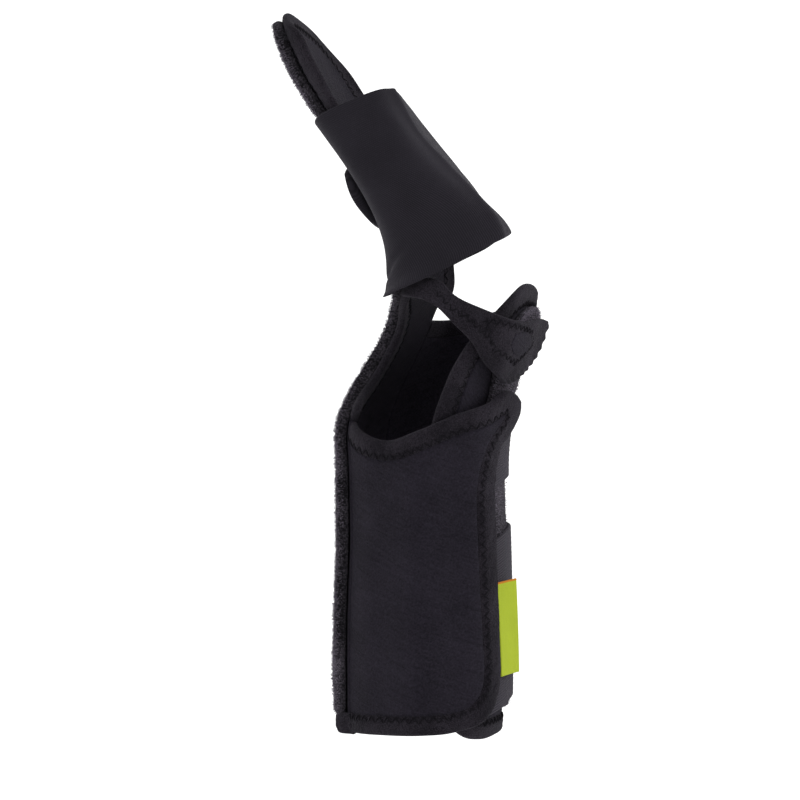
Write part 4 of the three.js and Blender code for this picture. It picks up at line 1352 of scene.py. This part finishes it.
@dataclass
class Wing(Builder):
    """The outer wing, its binding and the loop pile on the back."""

    wave_height: float = 0.2
    pile_rounding: float = 0.8
    pile_fuzz: Fuzz = Fuzz(8500, 1.35, 0.085, 0.65, 43)

    def build(self) -> None:
        """Builds the pieces."""
        wave = Noise(41)
        self._panel(wave)
        self._pile(wave)

    def _panel(self, wave: Noise) -> None:
        """Builds the wing, its binding and stitches. Args: the waves of its cloth."""
        first, second, third = WING.stretch(0), WING.stretch(1), WING.stretch(2)
        relief = lambda spot: self.wave_height * wave(spot.x / 8, spot.y / 16) * smooth(spot.edge, (0.4, 4.0))
        place = fill_edges(third, lambda u: first(1 - u), lambda v: second(1 - v),
                           straight(WING_EDGE[-1], WING_EDGE[0]))
        self.sheet(Sheet("outer_wing", place, 80, 110, flat(0), flat(PANEL_TOP), relief),
                   "foam_cloth", "foam_cloth", "padded")
        rows = (0.0, float(WING.last))
        self.sheet(Sheet("outer_wing_binding", WING.binding(*rows), 520, 8, flat(0), flat(WALLS.binding),
                         binding_relief(42)), "brushed_tape", "foam_cloth", "padded")
        line = binding_line(WING, rows)
        self.stitches("wing_stitching", Stitch(), [(line, np.full(len(line), WALLS.binding + STITCH_RISE))])

    def _pile(self, wave: Noise) -> None:
        """Builds the loop pile and its fibres. Args: the unevenness of its loops."""
        thumb, outer_edge, top = ClothCurve(PILE_THUMB), ClothCurve(PILE_OUTER), ClothCurve(PILE_TOP_EDGE)
        rough = lambda spot: 0.16 * wave(spot.x / 1.2, spot.y / 1.2) + 0.1 * wave(spot.x / 5, spot.y / 5)
        place = fill_edges(straight(PILE_THUMB[0], PILE_OUTER[0]), top.even, thumb.even, outer_edge.even)
        pile = self.sheet(Sheet("dorsal_pile", place, 90, 200, flat(OVER_PANEL), flat(PILE_TOP), rough,
                                rounding=self.pile_rounding), "pile", "pile_cloth", "padded")
        weight = lambda spot: 0.12 + (1 - smooth(spot.u, (0.05, 0.35))) + 0.5 * smooth(spot.v, (0.93, 0.99))
        self.fuzz("dorsal_pile_fibres", self.pile_fuzz, pile, weight)


@dataclass(frozen=True)
class Band:
    """One elastic strap: its node, its middle along the arm, width in mm and steps across it."""

    name: str
    centre: float
    width: float
    up: int


@dataclass(frozen=True)
class Label:
    """The side label: its place, and mm of width, height, slope and stand-off, and its thin upper edge."""

    left: float = 0.429
    centre: float = 0.1455
    width: float = 10.5
    height: float = 34.0
    skew: float = 0.014
    slope: float = 1.2
    stand: float = 2.6
    edge_step: float = 0.08


@dataclass
class Straps(Builder):
    """The two elastic straps, the hand strap with its hook tab, and the side label."""

    bands: tuple[Band, ...] = (Band("forearm_strap", 0.1465, 62.5, 90), Band("wrist_strap", 0.350, 18.7, 30))
    rib_pitch: float = 1.8
    rib_height: float = 0.05
    root_rows: tuple[float, float] = (10.2, 11.2)
    box_stitch: Stitch = Stitch(1.15, 3.1, 0.22)
    scallop_pitch: float = 4.2
    scallop_height: float = 0.3
    patch_sunk: float = 0.35
    patch_wall: float = 0.62
    hook_fuzz: Fuzz = Fuzz(1800, 1.0, 0.08, 0.5, 53)
    label: Label = Label()

    def build(self) -> None:
        """Builds the pieces."""
        for band in self.bands:
            self._elastic(band)
        self._hand_strap()
        self._patch()
        self._hook()
        self._label()

    def _elastic(self, band: Band) -> None:
        """Builds an elastic strap. Args: its sizes."""
        line = ClothCurve([(around, band.centre + rise) for around, rise in STRAP_RISE])

        def place(u: Array, v: Array) -> Array:
            """Returns the strap's places."""
            spots = line.even(u)
            return np.stack([spots[..., 0], spots[..., 1] + (v - 0.5) * band.width / TOTAL_RUN], axis=-1)

        inner = lambda spot: lerp(OVER_PILE, OVER_PANEL, smooth(spot.around, (0.70, 0.76)))
        ribs = lambda spot: self.rib_height * np.sin(2 * np.pi * spot.y / self.rib_pitch) * smooth(
            spot.edge, (0.3, 1.5))
        self.sheet(Sheet(band.name, place, 110, band.up, inner, lambda spot: inner(spot) + WALLS.strap, ribs,
                         rounding=0.6), "elastic", "elastic")

    @staticmethod
    def _strap_inner(spot: Spot) -> Array:
        """Returns how high the hand strap's inner face stands."""
        sewn_on = 1.3 * (1 - smooth(spot.around, (0.165, 0.205)))
        return (sewn_on + ON_WING * smooth(spot.around, (0.215, 0.290)) + (OVER_HOOK - ON_WING) * smooth(
            spot.around, (0.315, 0.375)) + 1.4 * smooth(spot.around, (0.47, 0.55)))

    def _hand_strap(self) -> None:
        """Builds the hand strap with its stitched box."""
        root = lambda v: PALMAR.beyond_rim(lerp(*self.root_rows, v))
        ends = root(np.array([0.0, 1.0]))
        low, high = ClothCurve([ends[0], *STRAP_LOW]), ClothCurve([ends[1], *STRAP_HIGH])
        wave = Noise(51)

        def relief(spot: Spot) -> Array:
            """Returns scallops at the strap's end and soft waves."""
            scallop = self.scallop_height * np.sin(2 * np.pi * spot.y / self.scallop_pitch) * smooth(
                spot.u, (0.90, 1.0))
            return scallop + 0.14 * wave(spot.x / 1.6, spot.y / 1.6) + 0.25 * wave(spot.x / 9, spot.y / 7)

        place = fill_edges(low.even, high.even, root, ClothCurve(STRAP_END).even)
        outer = lambda spot: self._strap_inner(spot) + WALLS.hand_strap
        self.sheet(Sheet("hand_strap", place, 130, 48, self._strap_inner, outer, relief),
                   "brushed_tape", "foam_cloth", "padded")
        corners = [*STRAP_BOX, STRAP_BOX[0]]
        pairs = [*zip(corners[:-1], corners[1:]), *STRAP_TACKS]
        lines = [lerp(np.array(a), np.array(b), np.linspace(0, 1, 80)[:, None]) for a, b in pairs]
        self.stitches("hand_strap_stitching", self.box_stitch, [(line, lift_on(outer, line) + 0.12)
                                                                for line in lines])

    def _patch(self) -> None:
        """Adds the smooth cloth that shows inside the stitched box."""
        low, right, top, left = (ClothCurve(rows) for rows in STRAP_PATCH)
        inner = lambda spot: self._strap_inner(spot) + WALLS.hand_strap - self.patch_sunk
        self.trim(Sheet("hand_strap_patch", fill_edges(low.even, top.even, left.even, right.even), 24, 20,
                        inner, lambda spot: inner(spot) + self.patch_wall, rounding=0.3),
                  "foam_cloth", "foam_cloth")

    def _hook(self) -> None:
        """Builds the hook tape under the hand strap's end."""
        low, high, end = ClothCurve(HOOK_LOW), ClothCurve(HOOK_HIGH), ClothCurve(HOOK_END)
        place = fill_edges(low.even, high.even, straight(HOOK_LOW[0], HOOK_HIGH[0]), end.even)
        hook = self.sheet(Sheet("hand_strap_hook", place, 40, 30, flat(OVER_PILE), flat(HOOK_TOP),
                                rounding=0.5), "pile", "pile_cloth")
        self.fuzz("hook_fibres", self.hook_fuzz, hook, lambda spot: smooth(spot.u, (0.6, 1.0)))

    def _label(self) -> None:
        """Builds the bare side label and its thin upper edge."""
        size = self.label
        girth = float(SKIN.girth(np.array(size.centre)))

        def place(u: Array, v: Array) -> Array:
            """Returns the label's places."""
            return np.stack([size.left + u * size.width / girth + size.skew * (0.5 - v),
                             size.centre + ((v - 0.5) * size.height + size.slope * u) / TOTAL_RUN], axis=-1)

        inner = lambda spot: OVER_STRAP + size.stand * spot.u ** 2
        outer = lambda spot: inner(spot) + WALLS.label
        self.sheet(Sheet("side_label", place, 24, 60, inner, outer, rounding=0.35), "label", "label_cloth",
                   held="folded")
        self.trim(Sheet("side_label_edge", lambda u, v: place(0.02 + 0.96 * u, 0.985 + 0.022 * v), 20, 2,
                        lambda spot: inner(spot) - size.edge_step, lambda spot: outer(spot) + size.edge_step,
                        rounding=0.2), "label_edge", "label_cloth")


@dataclass
class Sleeve(Builder):
    """The finger sleeve and its closing tab."""

    thumb_drop: float = 0.165
    far_rise: float = 0.10
    top_slant: float = 0.04
    fold_height: float = 0.30
    corner_depth: float = 1.8
    crease_depth: float = 1.2
    ridge_height: float = 1.2
    ridge_around: float = 0.372
    hollow_depth: float = 0.9
    tab_centre: float = 0.585
    tab_width: float = 44.0
    tab_height: float = 26.5
    tab_roundness: float = 0.38
    tab_puff: float = 2.0

    def build(self) -> None:
        """Builds the pieces."""
        self._tube()
        self._tab()

    def _tube(self) -> None:
        """Builds the sleeve round the fingers and the tongue."""
        wave = Noise(61)

        def place(u: Array, v: Array) -> Array:
            """Returns the sleeve's places between its slanting rims."""
            thumb = np.sin(2 * np.pi * u)
            low = -self.thumb_drop * np.maximum(thumb, 0) ** 1.5 + self.far_rise * np.maximum(-thumb, 0)
            return np.stack([u, lerp(low, 1 + self.top_slant * thumb, v)], axis=-1)

        def relief(spot: Spot) -> Array:
            """Returns folds, the crease at the palm's corner, and the ridge along the back."""
            inside = smooth(spot.edge, (0.5, 6.0))
            corner = -self.corner_depth * (1 - smooth(spot.v, (0.0, 0.30))) * (
                bell(spot.around, 0.03, 0.10) + bell(spot.around, 1.03, 0.10))
            joint = smooth(np.minimum(spot.u, 1 - spot.u), (0.0, 0.07))
            folds = self.fold_height * joint * wave((spot.u * 26 + spot.v * 5) * 0.8, spot.v * 2.6)
            crease = -self.crease_depth * bell(spot.along - 1.3 * (spot.around - 0.10), 0.02, 0.030) * (
                1 - smooth(spot.around, (0.14, 0.24)))
            ridge = self.ridge_height * bell(spot.around, self.ridge_around, 0.013) * (1 - 0.3 * spot.v)
            hollow = -self.hollow_depth * bell(spot.around, 0.335, 0.030) * (0.4 + 0.6 * spot.v)
            return inside * (folds + crease) + ridge + hollow + corner

        self.sheet(Sheet("finger_sleeve", place, 260, 84, flat(0), flat(WALLS.sleeve), relief, SLEEVE,
                         rounding=0.7, closed=True), "sleeve_cloth", "sleeve_cloth")

    def _tab(self) -> None:
        """Builds the oval closing tab on the palm side."""
        centre, round_off = self.tab_centre, self.tab_roundness
        ends = SLEEVE.point(np.array([0.0, 0.0]), np.array([0.0, 1.0]))
        half_height = self.tab_height / 2 / float(np.linalg.norm(ends[1] - ends[0]))
        half_turn = self.tab_width / 2 / float(SLEEVE.girth(np.array(centre)))

        def place(u: Array, v: Array) -> Array:
            """Returns the tab's places."""
            across, up = 2 * u - 1, 2 * v - 1
            return np.stack([half_turn * across * np.sqrt(1 - round_off * up * up),
                             centre + half_height * up * np.sqrt(1 - round_off * across * across)], axis=-1)

        low = WALLS.sleeve + WALLS.layer_gap
        outer = lambda spot: low + WALLS.tab + self.tab_puff * np.sin(np.pi * spot.v) * smooth(
            spot.u, (0.1, 0.9))
        self.sheet(Sheet("sleeve_tab", place, 60, 44, flat(low), outer, surface=SLEEVE), "sleeve_cloth",
                   "sleeve_cloth", "padded")


# The studio

@dataclass(frozen=True)
class View:
    """The photograph's view: pixels to mm, angle and distance."""

    mm_per_pixel: float = 0.37
    azimuth: float = math.radians(13.0)
    distance: float = 1.6
    origin_px: tuple[float, float] = (422.0, 500.0)
    frame_px: float = 800.0
    sensor: float = 36.0
    clip_end: float = 20.0


@dataclass(frozen=True)
class Lamp:
    """A square soft lamp: its name, place and size in metres, and power in watts."""

    name: str
    place: tuple[float, float, float]
    size: float
    power: float


@dataclass(frozen=True)
class Floor:
    """The floor with its sweep all round, in metres, its grey and its own light."""

    level: float = -0.45
    radius: float = 2.0
    bend: float = 0.8
    height: float = 3.2
    sides: int = 64
    steps: int = 12
    grey: float = 0.3
    glow: float = 0.92


@dataclass
class Studio:
    """Camera, floor with its sweep, and soft lights."""

    view: View = View()
    floor: Floor = Floor()
    lamps: tuple[Lamp, ...] = (Lamp("key", (0.7, -1.5, 1.3), 0.9, 13.0),
                               Lamp("fill", (-1.5, -1.0, 0.5), 1.2, 1.0),
                               Lamp("rim", (1.4, 0.4, 0.8), 0.8, 9.0))
    aim: tuple[float, float, float] = (0.0, 0.0, 0.03)
    world_strength: float = 0.62

    def build(self) -> None:
        """Builds camera, floor and lights."""
        self._camera()
        self._floor()
        self._lights()

    def _camera(self) -> None:
        """Builds the camera at the photograph's angle."""
        view = self.view
        right = Vector((math.cos(view.azimuth), math.sin(view.azimuth), 0))
        back = Vector((math.sin(view.azimuth), -math.cos(view.azimuth), 0))
        half = view.frame_px / 2
        scale = view.mm_per_pixel * MM
        rise = Vector((0, 0, (view.origin_px[1] - half) * scale))
        target = right * (half - view.origin_px[0]) * scale + rise
        data = bpy.data.cameras.new("camera")
        data.sensor_width = view.sensor
        data.lens = view.sensor * view.distance / (view.frame_px * scale)
        data.clip_end = view.clip_end
        camera = bpy.data.objects.new("camera", data)
        camera.location = target + back * view.distance
        camera.rotation_euler = (target - camera.location).to_track_quat("-Z", "Y").to_euler()
        bpy.context.scene.collection.objects.link(camera)
        bpy.context.scene.camera = camera

    def _floor(self) -> None:
        """Builds the white floor, which rises all round."""
        size = self.floor
        profile = [(0.0, 0.0), (size.radius, 0.0)]
        for k in range(1, size.steps + 1):
            angle = math.pi / 2 * k / size.steps
            profile.append((size.radius + size.bend * math.sin(angle), size.bend * (1 - math.cos(angle))))
        profile.append((size.radius + size.bend, size.height))
        sides = size.sides
        turns = [2 * math.pi * k / sides for k in range(sides)]
        points = [(r * math.cos(turn), r * math.sin(turn), z + size.level)
                  for r, z in profile for turn in turns]
        faces = [(row * sides + k, row * sides + (k + 1) % sides, (row + 1) * sides + (k + 1) % sides,
                  (row + 1) * sides + k) for row in range(len(profile) - 1) for k in range(sides)]
        mesh = bpy.data.meshes.new("floor")
        mesh.from_pydata(points, [], faces)
        material = bpy.data.materials.new("floor")
        material.use_nodes = True
        shader = material.node_tree.nodes["Principled BSDF"]
        for socket, value in (("Base Color", (size.grey, size.grey, size.grey, 1)), ("Roughness", 0.9),
                              ("Emission Color", (1, 1, 1, 1)), ("Emission Strength", size.glow)):
            shader.inputs[socket].default_value = value
        mesh.materials.append(material)
        link("floor", mesh)

    def _lights(self) -> None:
        """Builds the even light all round and the lamps."""
        scene = bpy.context.scene
        world = bpy.data.worlds.new("studio")
        scene.world = world
        world.use_nodes = True
        background = world.node_tree.nodes["Background"]
        background.inputs["Color"].default_value = (1, 1, 1, 1)
        background.inputs["Strength"].default_value = self.world_strength
        for lamp in self.lamps:
            data = bpy.data.lights.new(lamp.name, "AREA")
            data.size = lamp.size
            data.energy = lamp.power
            light = bpy.data.objects.new(lamp.name, data)
            light.location = lamp.place
            light.rotation_euler = (Vector(self.aim) - light.location).to_track_quat("-Z", "Y").to_euler()
            scene.collection.objects.link(light)
        scene.view_settings.view_transform = "Standard"
        scene.view_settings.look = "None"


def main() -> None:
    """Builds the whole model."""
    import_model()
    Studio().build()
    materials = {name: make_material(finish) for name, finish in FINISHES.items()}
    for part in (Palm, Flap, Wing, Straps, Sleeve):
        part(materials).build()
        log.info("%s built", part.__name__)


if __name__ == "__main__":
    main()
